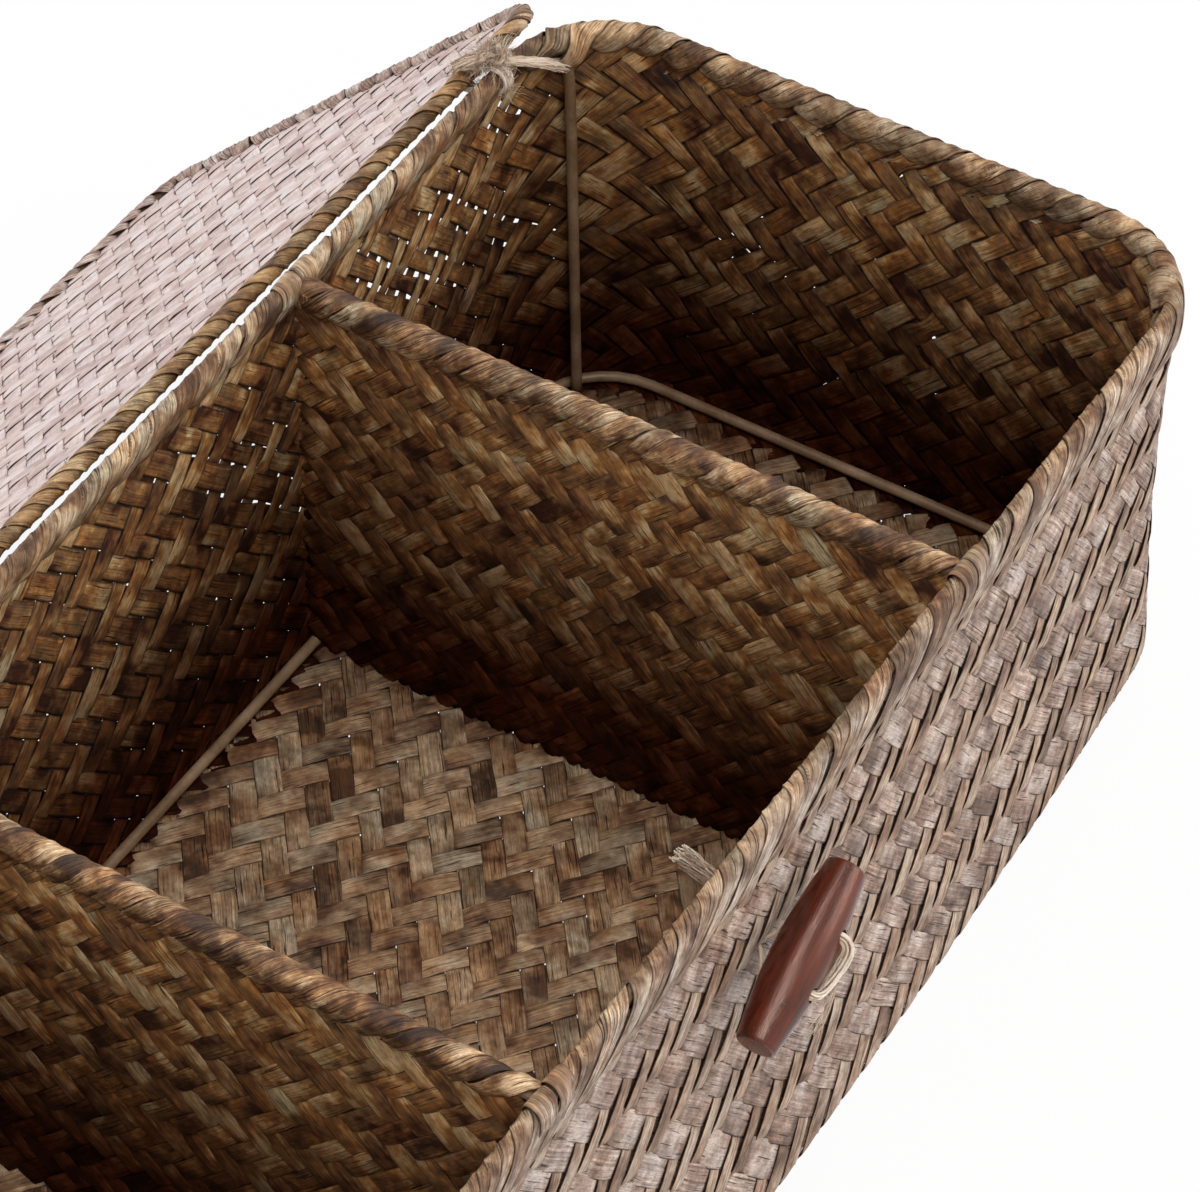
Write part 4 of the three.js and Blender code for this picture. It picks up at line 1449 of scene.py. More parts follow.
@dataclass(frozen=True)
class SedgeFinish:
    """Split sedge: strips with fibres along them, blotches, cracks and specks, with painted shade along
    their edges, where they dive under each other, and deep inside the basket.

    Each palette runs from its darkest to its palest strip.
    """

    name: str
    indoor: tuple[Colour, ...]
    outdoor: tuple[Colour, ...]
    fibre: float = 0.9
    # How dark the painted shade is where strips dive under one another, indoors and outdoors.
    dive_shading: Pair = (0.62, 0.85)
    # How dark the painted shade along the strips' edges is.
    edge_shade: float = 0.85
    tints: float = 0.8
    gloss: float = 0.4

    def base(self, nodes: Finish, pick: Socket, outer: Socket) -> Socket:
        """The strip's own colour from the two palettes.

        Args:
            nodes: the material's nodes.
            pick: the place in the palettes.
            outer: the share of the outdoor one.

        Returns:
            The colour.
        """
        indoor, outdoor = (
            nodes.ramp(pick, [((k + 0.5) / len(colours), colour) for k, colour in enumerate(colours)])
            for colours in (self.indoor, self.outdoor))
        return nodes.mix(outer, indoor, outdoor)

    def build(self) -> Material:
        """Makes the material from the strips' own numbers.

        Returns:
            The material.
        """
        nodes = Finish(self.name)
        along, across, strip = (nodes.number(name) for name in ("along", "across", "strip"))
        outer, lean = nodes.scaled(nodes.number("outer"), 0.5, 0.92), nodes.number("lean")
        kind, shift = nodes.shuffled(strip, 13.7), nodes.times(strip, 91.0)

        def fibres(length: float, width: float, offset: float, detail: float = 3.0) -> Socket:
            """Noise drawn out along the strip: cells per millimetre along, and per half width.

            Args:
                length: cells per millimetre along.
                width: cells per half width.
                offset: sets it apart from the others.
                detail: how many finer layers it has.

            Returns:
                The noise.
            """
            place = nodes.vector(nodes.times(along, length),
                                 nodes.plus(nodes.times(across, width), shift),
                                 nodes.plus(shift, offset))
            return nodes.noise(place, 1.0, detail, 0.65)

        slow = nodes.scaled(fibres(0.085, 0.25, 0.0), 0.33, 0.67, -0.1, 0.85)
        pick = nodes.plus(nodes.times(nodes.shuffled(strip, 7.31), 0.42), slow)
        pick = nodes.plus(pick, nodes.times(lean, nodes.scaled(outer, 0.0, 1.0, 1.0, -0.6)), clamp=True)
        tint = fibres(0.05, 0.2, 29.0)
        most = nodes.scaled(outer, 0.0, 1.0, self.tints, 0.45 * self.tints)
        fine, grain = fibres(0.03, 6.5, 3.0, 6.0), fibres(0.6, 14.0, 11.0, 4.0)
        strength = nodes.scaled(kind, 0.1, 0.9, 0.4 * self.fibre, self.fibre)
        thin = 0.27 + 0.05 * self.fibre
        crack = nodes.scaled(fibres(0.09, 8.0, 17.0, 1.0), thin, thin + 0.04,
                             min(1.0, 1.1 * self.fibre), 0.0)
        speck = nodes.add("ShaderNodeTexVoronoi")
        nodes.put(nodes.vector(nodes.times(along, 0.35), nodes.times(across, 1.1), shift),
                  speck.inputs["Vector"])
        nodes.put(1.0, speck.inputs["Scale"])
        spot = nodes.scaled(speck.outputs["Distance"], 0.05, 0.11, 1.0, 0.0)
        # Painted shade where a strip dives under its neighbours, read from its relief.
        dive_shade = nodes.scaled(nodes.number("relief"), -0.5, 0.3, 1.0, 0.0)
        low = nodes.times(nodes.number("deep"), nodes.math("SUBTRACT", 1.0, outer))
        colour = self.base(nodes, pick, outer)
        for tone, factor in (
                (Tint.GREY_VIOLET, nodes.scaled(tint, 0.5, 0.62, 0.0, most)),
                (Tint.ORANGE, nodes.scaled(tint, 0.38, 0.48, most, 0.0)),
                (Tint.FADED, nodes.times(nodes.scaled(lean, 0.0, -0.1, 0.0, 0.8), outer)),
                (Tint.DARK_FIBRE, nodes.times(nodes.scaled(fine, 0.38, 0.54, 1.0, 0.0), strength)),
                (Tint.PALE_FIBRE, nodes.times(nodes.scaled(fine, 0.55, 0.68, 0.0, 0.8), strength)),
                (Tint.BLOTCH, nodes.scaled(fibres(0.22, 0.9, 7.0), 0.42, 0.68, 0.0, 0.9 * self.fibre)),
                (Tint.GRAIN, nodes.scaled(grain, 0.36, 0.64, 0.0, 0.8 * self.fibre)),
                (Tint.CRACK, crack),
                (Tint.SPECK, nodes.times(spot, nodes.scaled(kind, 0.0, 0.3, 0.8, 0.0))),
                # Painted shade along each strip's two edges.
                (Tint.EDGE, nodes.times(nodes.number("edge"), self.edge_shade)),
                # Painted shade where strips dive under one another.
                (Tint.DIVE_SHADE, nodes.times(dive_shade, nodes.scaled(outer, 0.0, 1.0, *self.dive_shading))),
                (Tint.DEEP_SHADE, low)):
            colour = nodes.tinted(colour, tone, factor)
        relief = nodes.math("SUBTRACT", nodes.plus(fine, nodes.times(grain, 0.5)),
                            nodes.times(crack, 0.6))
        nodes.bump(relief, 0.7, 0.32)
        return nodes.shade(colour, nodes.scaled(fine, 0.3, 0.7, 0.68, 0.46),
                           nodes.scaled(low, 0.0, 1.0, self.gloss, 0.04))


@dataclass(frozen=True)
class PaintFinish:
    """Brown paint on wire: a little mottled, with rubbed paler patches."""

    name: str
    colour: Colour
    worn: Colour

    def build(self) -> Material:
        """Makes the material on the piece's own place.

        Returns:
            The material.
        """
        nodes = Finish(self.name)
        place = nodes.add("ShaderNodeTexCoord").outputs["Object"]
        cloud, fine = nodes.noise(place, 90.0, 4.0), nodes.noise(place, 900.0)
        colour = nodes.mix(nodes.scaled(cloud, 0.42, 0.68, 0.0, 0.8), self.colour, self.worn)
        colour = nodes.tinted(colour, Tint.DULL_PAINT, nodes.scaled(fine, 0.4, 0.7, 0.0, 0.35))
        nodes.bump(fine, 0.25, 0.2)
        return nodes.shade(colour, nodes.scaled(cloud, 0.3, 0.7, 0.38, 0.55), 0.5)


@dataclass(frozen=True)
class JuteFinish:
    """Twisted jute: pale straw with browner fibres along each ply."""

    name: str
    colour: Colour
    dark: Colour
    deep: Colour

    def build(self) -> Material:
        """Makes the material from the cord's own numbers.

        Returns:
            The material.
        """
        nodes = Finish(self.name)
        along, across, strip = (nodes.number(name) for name in ("along", "across", "strip"))
        shift = nodes.times(strip, 40.0)
        fibre = nodes.noise(nodes.vector(nodes.times(along, 0.35), nodes.times(across, 4.0), shift),
                            1.0, 5.0, 0.7)
        cloud = nodes.noise(nodes.vector(nodes.times(along, 0.08), shift, 0.0), 1.0, 2.0)
        share = nodes.plus(nodes.times(nodes.shuffled(strip, 17.3), 0.62),
                           nodes.scaled(fibre, 0.36, 0.66, -0.1, 0.5), clamp=True)
        colour = nodes.ramp(share, [(0.0, self.deep), (0.4, self.dark), (0.85, self.colour)])
        colour = nodes.tinted(colour, Tint.BROWN_JUTE, nodes.scaled(cloud, 0.4, 0.7, 0.0, 0.5))
        nodes.bump(fibre, 0.8, 0.35)
        return nodes.shade(colour, 0.9, 0.2)


GRAIN_NUMBERS = ("grain_along", "grain_first", "grain_second")


@dataclass(frozen=True)
class WoodFinish:
    """Varnished hardwood: fine pores and bands along the grain under a clear coat."""

    name: str
    colour: Colour
    dark: Colour

    def build(self) -> Material:
        """Makes the material from the toggle's own lengthwise and crosswise places.

        Returns:
            The material.
        """
        nodes = Finish(self.name)
        axes = [nodes.number(name) for name in GRAIN_NUMBERS]

        def grain(length: float, width: float) -> Socket:
            """Noise drawn out along the toggle, in cells per millimetre."""
            place = nodes.vector(*map(nodes.times, axes, (length, width, width)))
            return nodes.noise(place, 1.0, 5.0, 0.6)

        band, pores = grain(0.03, 0.3), grain(0.16, 2.6)
        colour = nodes.mix(nodes.scaled(band, 0.35, 0.65), self.dark, self.colour)
        colour = nodes.tinted(colour, Tint.PORE, nodes.scaled(pores, 0.45, 0.6, 0.0, 0.7))
        nodes.bump(pores, 0.6, 0.12)
        nodes.put((1.0, 0.72, 0.6), nodes.shader.inputs["Specular Tint"])
        return nodes.shade(colour, nodes.scaled(pores, 0.35, 0.65, 0.1, 0.24), 0.75)


FLOOR_COLOURS = palette((106, 74, 50), (154, 114, 82), (182, 146, 110), (204, 170, 134), (230, 200, 164))
RAIL_COLOURS = palette((96, 64, 42), (152, 112, 78), (202, 162, 118), (246, 216, 176))
WOVEN = SedgeFinish(
    "sedge_plait",
    indoor=palette((78, 42, 24), (132, 84, 48), (160, 120, 82), (184, 128, 72), (222, 174, 114),
                   (248, 214, 162)),
    outdoor=palette((122, 94, 78), (164, 136, 120), (188, 162, 148), (206, 184, 172), (226, 208, 198)))
FLOOR_SEDGE = SedgeFinish("sedge_floor", indoor=FLOOR_COLOURS, outdoor=FLOOR_COLOURS)
LID_SEDGE = SedgeFinish(
    "sedge_lid",
    indoor=palette((150, 124, 108), (176, 150, 134), (196, 172, 158), (212, 190, 178)),
    outdoor=palette((200, 172, 167), (220, 196, 192), (232, 212, 208), (242, 228, 226)),
    # The lid's painted shade is strong where strips dive under each other and along their edges.
    fibre=0.24, dive_shading=(0.85, 1.0), edge_shade=1.0, tints=0.4)
RIM_SEDGE = SedgeFinish(
    "sedge_rim",
    indoor=palette((114, 82, 56), (160, 124, 90), (198, 166, 130), (230, 206, 174)),
    outdoor=palette((132, 102, 82), (172, 144, 124), (200, 178, 162), (232, 214, 200)),
    fibre=1.15)
LID_EDGE_SEDGE = SedgeFinish(
    "sedge_lid_edge",
    indoor=palette((132, 98, 62), (172, 134, 90), (204, 168, 122), (228, 198, 152)),
    outdoor=palette((180, 150, 138), (204, 178, 168), (222, 200, 192), (238, 222, 218)),
    fibre=1.05)
RAIL_SEDGE = SedgeFinish("sedge_rail", indoor=RAIL_COLOURS, outdoor=RAIL_COLOURS, fibre=1.4)
PAINT = PaintFinish("wire_paint", linear(124, 96, 70), linear(166, 138, 108))
JUTE = JuteFinish("jute_twist", (1.0, 0.9, 0.8), (0.76, 0.57, 0.42), (0.3, 0.18, 0.11))
WOOD = WoodFinish("toggle_varnish", linear(102, 34, 11), linear(52, 13, 4))


# Sub-assemblies


def even(value: float) -> Callable[[Array], Array]:
    """The same number everywhere along an edge."""
    return lambda s: np.full_like(s, value)


RIM_ARC = RIM_CORNER * np.pi / 2
RIM_LONG = 2 * (RIM_HALF_LENGTH - RIM_CORNER)
RIM_SHORT = 2 * (RIM_HALF_WIDTH - RIM_CORNER)


def on_end(y: float) -> float:
    """How far the place at y on the right end wall lies before the rim's start."""
    return RIM_HALF_WIDTH - RIM_CORNER - y


def on_back(x: float) -> float:
    """The place along the rim that lies over x on the back wall."""
    return RIM_ARC + RIM_LONG / 2 - x


def on_front(x: float) -> float:
    """The place along the rim that lies over x on the front wall."""
    return 3 * RIM_ARC + 1.5 * RIM_LONG + RIM_SHORT + x


def wall_shade(points: Array) -> Array:
    """Shade on a wall: none near the rim and full from 24 mm above the table down."""
    return 0.97 * fade(points[..., 2], 112, 24)


def floor_shade(points: Array) -> Array:
    """Shade on the floor: most in the right compartment, and a little towards the back wall."""
    return 0.42 * fade(points[..., 0], 70, 100) + 0.16 * fade(points[..., 1], -30, 60)


def lay(bundles: Sequence[tuple[str, Strips]], surface: FlatSheet | WallSheet | EdgeRoll,
        finish: Material, body: str, slot: str, node: str, **look: object) -> None:
    """Makes the mesh of each named bundle of strips and puts it into the scene for a node.

    Args:
        bundles: each name with its strips.
        surface: the surface that they lie on.
        finish: their material.
        body: the body that they ride on.
        slot: the record's material slot; not used.
        node: the frame's node that they stand for.
        look: what else the strips' build method takes.
    """
    for name, strips in bundles:
        add_piece(strips.build(name, surface, **look), finish, body, [node])


@dataclass
class WovenBody:
    """The four walls and the floor, plaited in one piece."""

    wall: WallSheet = field(default_factory=WallSheet)
    wall_pitch: float = 6.3
    floor_pitch: float = 5.98
    thin: tuple[ThinSpot, ...] = (
        ThinSpot(on_back(64), 83, 30, 3.2, 40), ThinSpot(on_back(70), 62, 24, 2.6, 40),
        ThinSpot(on_back(116), 108, 13, 4.5, 40), ThinSpot(on_back(121), 92, 18, 4.5, 40),
        ThinSpot(on_back(141), 82, 24, 6.5, 40), ThinSpot(on_back(152), 96, 15, 5, 40),
        ThinSpot(on_back(174), 109, 14, 5.5, 40),
        ThinSpot(on_back(178), 72, 22, 5, 40), ThinSpot(-on_end(12), 31, 27, 2.6, -45),
        ThinSpot(-on_end(38), 63, 22, 2.4), ThinSpot(-on_end(60), 46, 4, 4),
        ThinSpot(-on_end(21), 116, 4, 4), ThinSpot(-on_end(-6), 111, 4, 4),
        ThinSpot(-on_end(-17), 60, 4, 4), ThinSpot(-on_end(-13), 48, 4, 4))

    def build(self, wall_finish: Material, floor_finish: Material) -> None:
        """Makes the walls' two families of strips and the floor's.

        Args:
            wall_finish, floor_finish: the materials.
        """
        plait = Plait(self.wall_pitch, 45.0, TwillRun.ALONG_S, seed=11, shares=(0.98, 1.07),
                      waves=(0.46, 0.3), thin=self.thin, leans=(-0.12, 0.06))
        lay(plait.on_wall("wall_strips", self.wall, -5.0, 119.5), self.wall, wall_finish,
            "basket", "sedge_outer", "woven_body", deep=wall_shade)
        plait = Plait(self.floor_pitch, 38.1, TwillRun.ALONG_S, seed=12, shares=(1.02, 1.0),
                      waves=(0.28, 0.28))
        sheet = FlatSheet(origin=(0, 0, FLOOR_HEIGHT), along=(1, 0, 0), across=(0, 1, 0),
                          low=(-206.5, -85.2), high=(206.5, 85.2), corner=23.0, bow=self.wall.bow)
        lay(plait.on_sheet("floor_strips", sheet), sheet, floor_finish,
            "basket", "sedge_inner", "woven_body", outer=0.2, deep=floor_shade)


@dataclass
class WireFrame:
    """The painted wires that show: the ring on the floor and the corner posts."""

    radius: float = 1.4
    ring_corner: float = 22.8
    head_drop: float = 13.0
    ring_drop: float = 1.5
    hidden: tuple[str, ...] = (
        "frame_top_ring", "divider_rail_wire_left", "divider_rail_wire_right", "lid_edge_wire")

    def build(self, finish: Material) -> None:
        """Sweeps smooth wires over the frame's own, which stay where a winding hides them.

        Args:
            finish: the paint.
        """
        low, high = (np.array(corner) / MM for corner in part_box("frame_base_ring"))
        ring = (high[0] - self.radius, high[1] - self.radius, self.ring_corner)
        s = np.linspace(0, perimeter(ring), 240, endpoint=False)
        flat, _ = plain_rectangle(s, ring)
        points = np.column_stack([flat, np.full(len(s), (low[2] + high[2]) / 2)])
        self.wire("base_ring_wire", points, "frame_base_ring", finish, closed=True)
        for end, y_side in (("back", 1), ("front", -1)):
            for side, x_side in (("right", 1), ("left", -1)):
                node = f"frame_post_{end}_{side}"
                points = self.post(node, np.array([x_side, y_side]))
                self.wire(f"post_wire_{end}_{side}", points, node, finish)
        for node in self.hidden:
            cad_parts[node].data.materials.clear()
            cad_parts[node].data.materials.append(finish)

    def post(self, node: str, side: Array) -> Array:
        """The path of a post, which bends at its head to meet the top ring.

        Args:
            node: the frame's post, whose box gives the foot and the head.
            side: 1 or -1 along X and along Y.

        Returns:
            The path.
        """
        low, high = (np.array(corner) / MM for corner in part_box(node))
        near, far = np.sort(np.abs([low[:2], high[:2]]), axis=0)
        foot = np.append(side * (far[0] - self.radius, near[1] + self.radius), low[2])
        head = np.append(side * (near[0] + self.radius, far[1] - self.radius), high[2])
        centre = side * (RIM_HALF_LENGTH - RIM_CORNER, RIM_HALF_WIDTH - RIM_CORNER)
        on_ring = np.append(centre + RIM_CORNER * unit(head[:2] - centre), RIM_HEIGHT - self.ring_drop)
        neck = foot + (head - foot) * (1 - self.head_drop / (head[2] - foot[2]))
        return smooth_path([foot, (foot + neck) / 2, neck, (neck + on_ring) / 2, on_ring], 30)

    def wire(self, name: str, points: Array, node: str, finish: Material,
             closed: bool = False) -> None:
        """One round wire that stands for a node of the frame.

        Args:
            name: the piece's name.
            points: its path.
            node: the frame's node.
            finish: the paint.
            closed: whether the path meets itself.
        """
        bundle = Bundle()
        bundle.add(points[None], self.radius, sides=20, closed=closed)
        add_piece(bundle.build(name), finish, "basket", [node])


@dataclass
class Rim:
    """Sedge wound over the top ring, running down both sides of the wall as a collar."""

    profile: tuple[Pair, ...] = (
        (0.3, -8.2), (-0.3, -6.4), (-0.9, -4.6), (-1.4, -2.8), (-1.75, -1.0), (-1.6, 0.7),
        (-0.9, 1.6), (0.0, 1.85), (0.9, 1.7), (1.7, 0.9), (2.1, -0.6), (2.35, -2.4),
        (2.5, -4.6), (2.5, -7.0), (2.3, -9.4), (1.2, -11.8))
    post_angle: float = math.radians(54.0)
    swelling: float = 3.6
    head_reach: float = 4.2
    inner_reach: float = 5.0
    lashing_reach: float = 6.4
    side_fade: float = 4.0

    def cover_posts(self, strips: Strips) -> None:
        """Swells the inner side over the posts' heads by a flat-topped bell round each.

        Args:
            strips: the rim's winding.
        """
        turn = np.array([math.cos(self.post_angle), math.sin(self.post_angle)])
        head = np.array([RIM_HALF_LENGTH, RIM_HALF_WIDTH]) - RIM_CORNER * (1 - turn)
        away = np.linalg.norm(np.abs(rim_line(strips.s)[0][..., :2]) - head, axis=-1)
        bell = self.swelling * np.exp(-(away / self.head_reach) ** 4)
        strips.height = strips.height + bell * np.clip(-strips.t / self.inner_reach, 0, 1)

    def along_wall(self, s: Array) -> Array:
        """1 on the long walls and 0 on the ends, eased round the corners."""
        return np.abs(rim_line(s)[1][..., 1]) ** 2

    def build(self, finish: Material) -> None:
        """Winds the strips round the whole rim, and lashes the rails' ends to it.

        Args:
            finish: the material.
        """
        edge = EdgeRoll(rim_line, self.profile)
        winding = Winding(
            21,
            spacing=lambda s: 9.6 - 0.7 * self.along_wall(s),
            slant=even(-1.0),
            outer_slant=lambda s: -0.3 - 1.5 * self.along_wall(s),
            lap=0.12, thickness=0.3, crown=0.05, tuck=0.7)
        strips = winding.on_edge(edge, 0, perimeter(RIM_SIZE), closed=True)
        self.cover_posts(strips)
        self.put(strips, "rim_winding", edge, finish, "rim_wrap")
        places = ((on_back, "back"), (on_front, "front"))
        for side, x, first_seed in (("left", -DIVIDER_X, 61), ("right", DIVIDER_X, 63)):
            for seed, (over, end) in enumerate(places, first_seed):
                lashing = Winding(seed, spacing=even(5.6), slant=even(-0.25), outer_slant=even(-0.3),
                                  overlap=1.15, lap=0.18, lift=0.5, tuck=0.7)
                strips = lashing.on_edge(edge, over(x) - self.lashing_reach, over(x) + self.lashing_reach,
                                         closed=False, trim=(3.0, 6.5))
                self.put(strips, f"lashing_{end}_{side}", edge, finish, f"rail_lashing_{end}_{side}")

    def put(self, strips: Strips, name: str, edge: EdgeRoll, finish: Material,
            node: str) -> None:
        """Makes a winding's mesh, fades its outer side and puts it into the scene.

        Args:
            strips: the winding.
            name: the piece's name.
            edge: the surface that it lies on.
            finish: the material.
            node: the frame's node that it stands for.
        """
        mesh = strips.build(name, edge)
        self.shade_sides(mesh)
        add_piece(mesh, finish, "basket", [node])

    def shade_sides(self, mesh: Mesh) -> None:
        """Fades the strips outdoors by how far outside the rim's middle they lie.

        Args:
            mesh: a winding's mesh.
        """
        points = vertices_of(mesh) / MM
        reach = np.maximum(np.abs(points[:, 0]) - RIM_HALF_LENGTH, np.abs(points[:, 1]) - RIM_HALF_WIDTH)
        set_outer(mesh, np.clip(reach / self.side_fade, -1, 1) * 0.5 + 0.5)


@dataclass
class Divider:
    """A plaited panel whose strips wind over a wire rail."""

    x: float
    side: str
    seed: int
    profile: tuple[Pair, ...] = (
        (-0.9, -7.0), (-1.4, -5.2), (-1.9, -3.6), (-2.4, -1.9), (-2.6, -0.2), (-2.3, 1.5),
        (-1.3, 2.5), (0.0, 2.85), (1.3, 2.5), (2.3, 1.5), (2.6, -0.2), (2.4, -1.9),
        (1.9, -3.6), (1.4, -5.2), (0.9, -7.0))
    rail_reach: float = 85.5

    def build(self, plait_finish: Material, rim_finish: Material) -> None:
        """Plaits the panel and winds the rail.

        Args:
            plait_finish, rim_finish: the materials of the panel and the rail.
        """
        plait = Plait(5.45, 46.3, TwillRun.ALONG_S, self.seed, shares=(1.02, 1.06), waves=(0.36, 0.3))
        sheet = FlatSheet(origin=(self.x, 0, 0), along=(0, -1, 0), across=(0, 0, 1),
                          low=(-87.3, 2.2), high=(87.3, 118.0), corner=1.0)
        lay(plait.on_sheet(f"divider_strips_{self.side}", sheet), sheet, plait_finish,
            "basket", "sedge_inner", f"divider_panel_{self.side}", outer=0.0, deep=wall_shade)
        edge = EdgeRoll(rail_line(self.x), self.profile)
        winding = Winding(self.seed + 1, spacing=even(7.2), slant=even(1.0), outer_slant=even(0.0),
                          crown=0.03, lap=0.3)
        strips = winding.on_edge(edge, -self.rail_reach, self.rail_reach, closed=False)
        lay([(f"rail_winding_{self.side}", strips)], edge, rim_finish,
            "basket", "sedge_rim", f"divider_rail_wrap_{self.side}", outer=0.15)


@dataclass
class Lid:
    """The plaited lid in its wound edge, leaning open behind the basket."""

    profile: tuple[Pair, ...] = (
        (-5.6, 0.6), (-4.2, 1.2), (-2.8, 1.7), (-1.3, 2.0), (0.0, 1.95), (1.1, 1.5), (1.65, 0.7),
        (1.75, 0.0), (1.65, -0.7), (1.1, -1.4), (0.0, -1.7), (-1.3, -1.5), (-2.8, -1.2), (-4.2, -0.9),
        (-5.6, -0.5))
    golden_depth: float = 2.0
    depth_fade: float = 5.0
    golden_reach: float = 165.0
    end_fade: float = 40.0
    end_share: float = 0.8

    def build(self, plait_finish: Material, edge_finish: Material) -> None:
        """Plaits the sheet and winds its edge.

        Args:
            plait_finish, edge_finish: the materials of the sheet and the edge.
        """
        # Only the falling strips get painted shade along their edges. With the gaps between them and the
        # dive shade, this makes the lid's dark slits.
        plait = Plait(5.22, 49.2, TwillRun.ALONG_T, seed=41, shares=(1.08, 0.82), waves=(0.14, 0.55),
                      leans=(0.0, 0.05), edgings=(0.0, 1.0), crown=0.04, shingle=-0.2)
        sheet = FlatSheet(origin=(0.0, *LID_HINGE), along=LID_ALONG, across=LID_OUT,
                          low=(-LID_HALF_LENGTH + 1, 1.0), high=(LID_HALF_LENGTH - 1, LID_DEPTH - 1),
                          corner=LID_CORNER)
        lay(plait.on_sheet("lid_strips", sheet), sheet, plait_finish, "lid", "sedge_lid", "lid_panel")
        edge = EdgeRoll(lid_line, self.profile)
        winding = Winding(43, spacing=even(7.2), slant=even(1.05), outer_slant=even(0.0), overlap=1.25,
                          stations=30, thickness=0.3, crown=0.06, lap=0.14)
        strips = winding.on_edge(edge, 0, perimeter(LID_SIZE), closed=True)
        mesh = strips.build("lid_edge_winding", edge, outer=0.5)
        self.fade_far_edges(mesh)
        add_piece(mesh, edge_finish, "lid", ["lid_edge_wrap"])

    def fade_far_edges(self, mesh: Mesh) -> None:
        """Leaves the winding golden along the hinge and fades it elsewhere.

        Args:
            mesh: the winding's mesh.
        """
        points = vertices_of(mesh) / MM
        depth = (points - [0.0, *LID_HINGE]) @ np.array(LID_OUT)
        near_end = (np.abs(points[:, 0]) - self.golden_reach) / self.end_fade
        far_side = (depth - self.golden_depth) / self.depth_fade
        set_outer(mesh, np.clip(np.maximum(far_side, self.end_share * near_end), 0, 1))


# The left tie's long end lies over the rim, clear of the wall when the lid is closed.
TAIL_OVER_RIM = (
    (173.0, 88.0, 127.0), (178.0, 90.5, 128.6), (183.5, 93.0, 127.4), (189.0, 96.0, 123.0))


@dataclass
class HingeTie:
    """Jute wound twice round the rim and the lid's edge, knotted on top, with frayed ends."""

    side: int
    name: str
    rounds: Pair = (3.5, 3.1)
    turns: int = 2
    spacing: float = 0.9
    tail: tuple[Point, ...] = (
        (173.0, 87.0, 126.6), (178.5, 85.2, 123.6), (184.5, 83.0, 119.8), (191.0, 80.2, 115.4))

    def belt(self, count: int) -> Array:
        """The winding's path: a belt over two circles that drifts along X by the spacing a turn.

        Args:
            count: number of points.

        Returns:
            The path, in the tie's own frame.
        """
        big, small = self.rounds
        touch = math.acos((big - small) / HINGE_SPACING)
        over_rim = np.linspace(touch, 2 * np.pi - touch, 18)
        over_lid = np.linspace(-touch, touch, 18)
        loop = np.concatenate([
            np.stack([big * np.cos(over_rim), big * np.sin(over_rim)], -1),
            np.stack([HINGE_SPACING + small * np.cos(over_lid), small * np.sin(over_lid)], -1)])
        loop = np.roll(loop, 3, axis=0)
        loop = np.concatenate([loop] * self.turns + [loop[:1]])
        drift = np.linspace(-0.5, 0.5, len(loop)) * self.turns * self.spacing
        return smooth_path(np.column_stack([drift, loop]), count)

    def place(self, points: Array) -> Array:
        """Turns points from the tie's own frame into the basket's."""
        y, z = turned(points[..., 1], points[..., 2], -TIE_SLOPE)
        return np.stack([points[..., 0] + self.side * TIE_X, y + RIM_HALF_WIDTH, z + RIM_HEIGHT], -1)

    def end(self, corners: Sequence[Point], count: int) -> Array:
        """A path in the basket's frame, given for the right tie and mirrored for the left one."""
        return smooth_path([(self.side * x, y, z) for x, y, z in corners], count)

    def build(self, finish: Material) -> None:
        """Winds the cord, knots it and frays its ends.

        Args:
            finish: the jute.
        """
        twine = Twine(seed=71 + self.side)
        bundle = Bundle()
        belt = self.place(self.belt(110))
        twine.strand(bundle, belt, wide=(1, 0, 0), count=26, half_width=1.2, half_height=0.6, radius=0.25)
        twine.hairs(bundle, belt, count=420, length=3.4)
        lean = np.array([[1.0, 0.1, 0.0], [-0.1, 0.95, -0.2], [0.0, 0.2, 1.0]])
        knot = self.place(knot_path((0.9 * self.side, -0.2, 5.4), 1.15, unit(lean), 70))
        twine.lay_plies(bundle, knot)
        twine.hairs(bundle, knot, count=700, length=5.0)
        tail = self.end(self.tail, 16)
        twine.frayed_end(bundle, tail, way=(0.5, 0.85, 0.1), count=100, narrow=1.3, wide=2.2)
        arm = self.end([(173.0, 88.0, 126.6), (170.5, 92.5, 127.6), (166.5, 97.0, 124.6)], 14)
        twine.frayed_end(bundle, arm, way=(0.6, 0.5, 0.6), count=60, narrow=1.2, wide=1.5)
        add_piece(bundle.build(f"jute_tie_{self.name}"), finish, "hinge_ties",
                  [f"hinge_tie_{self.name}"])


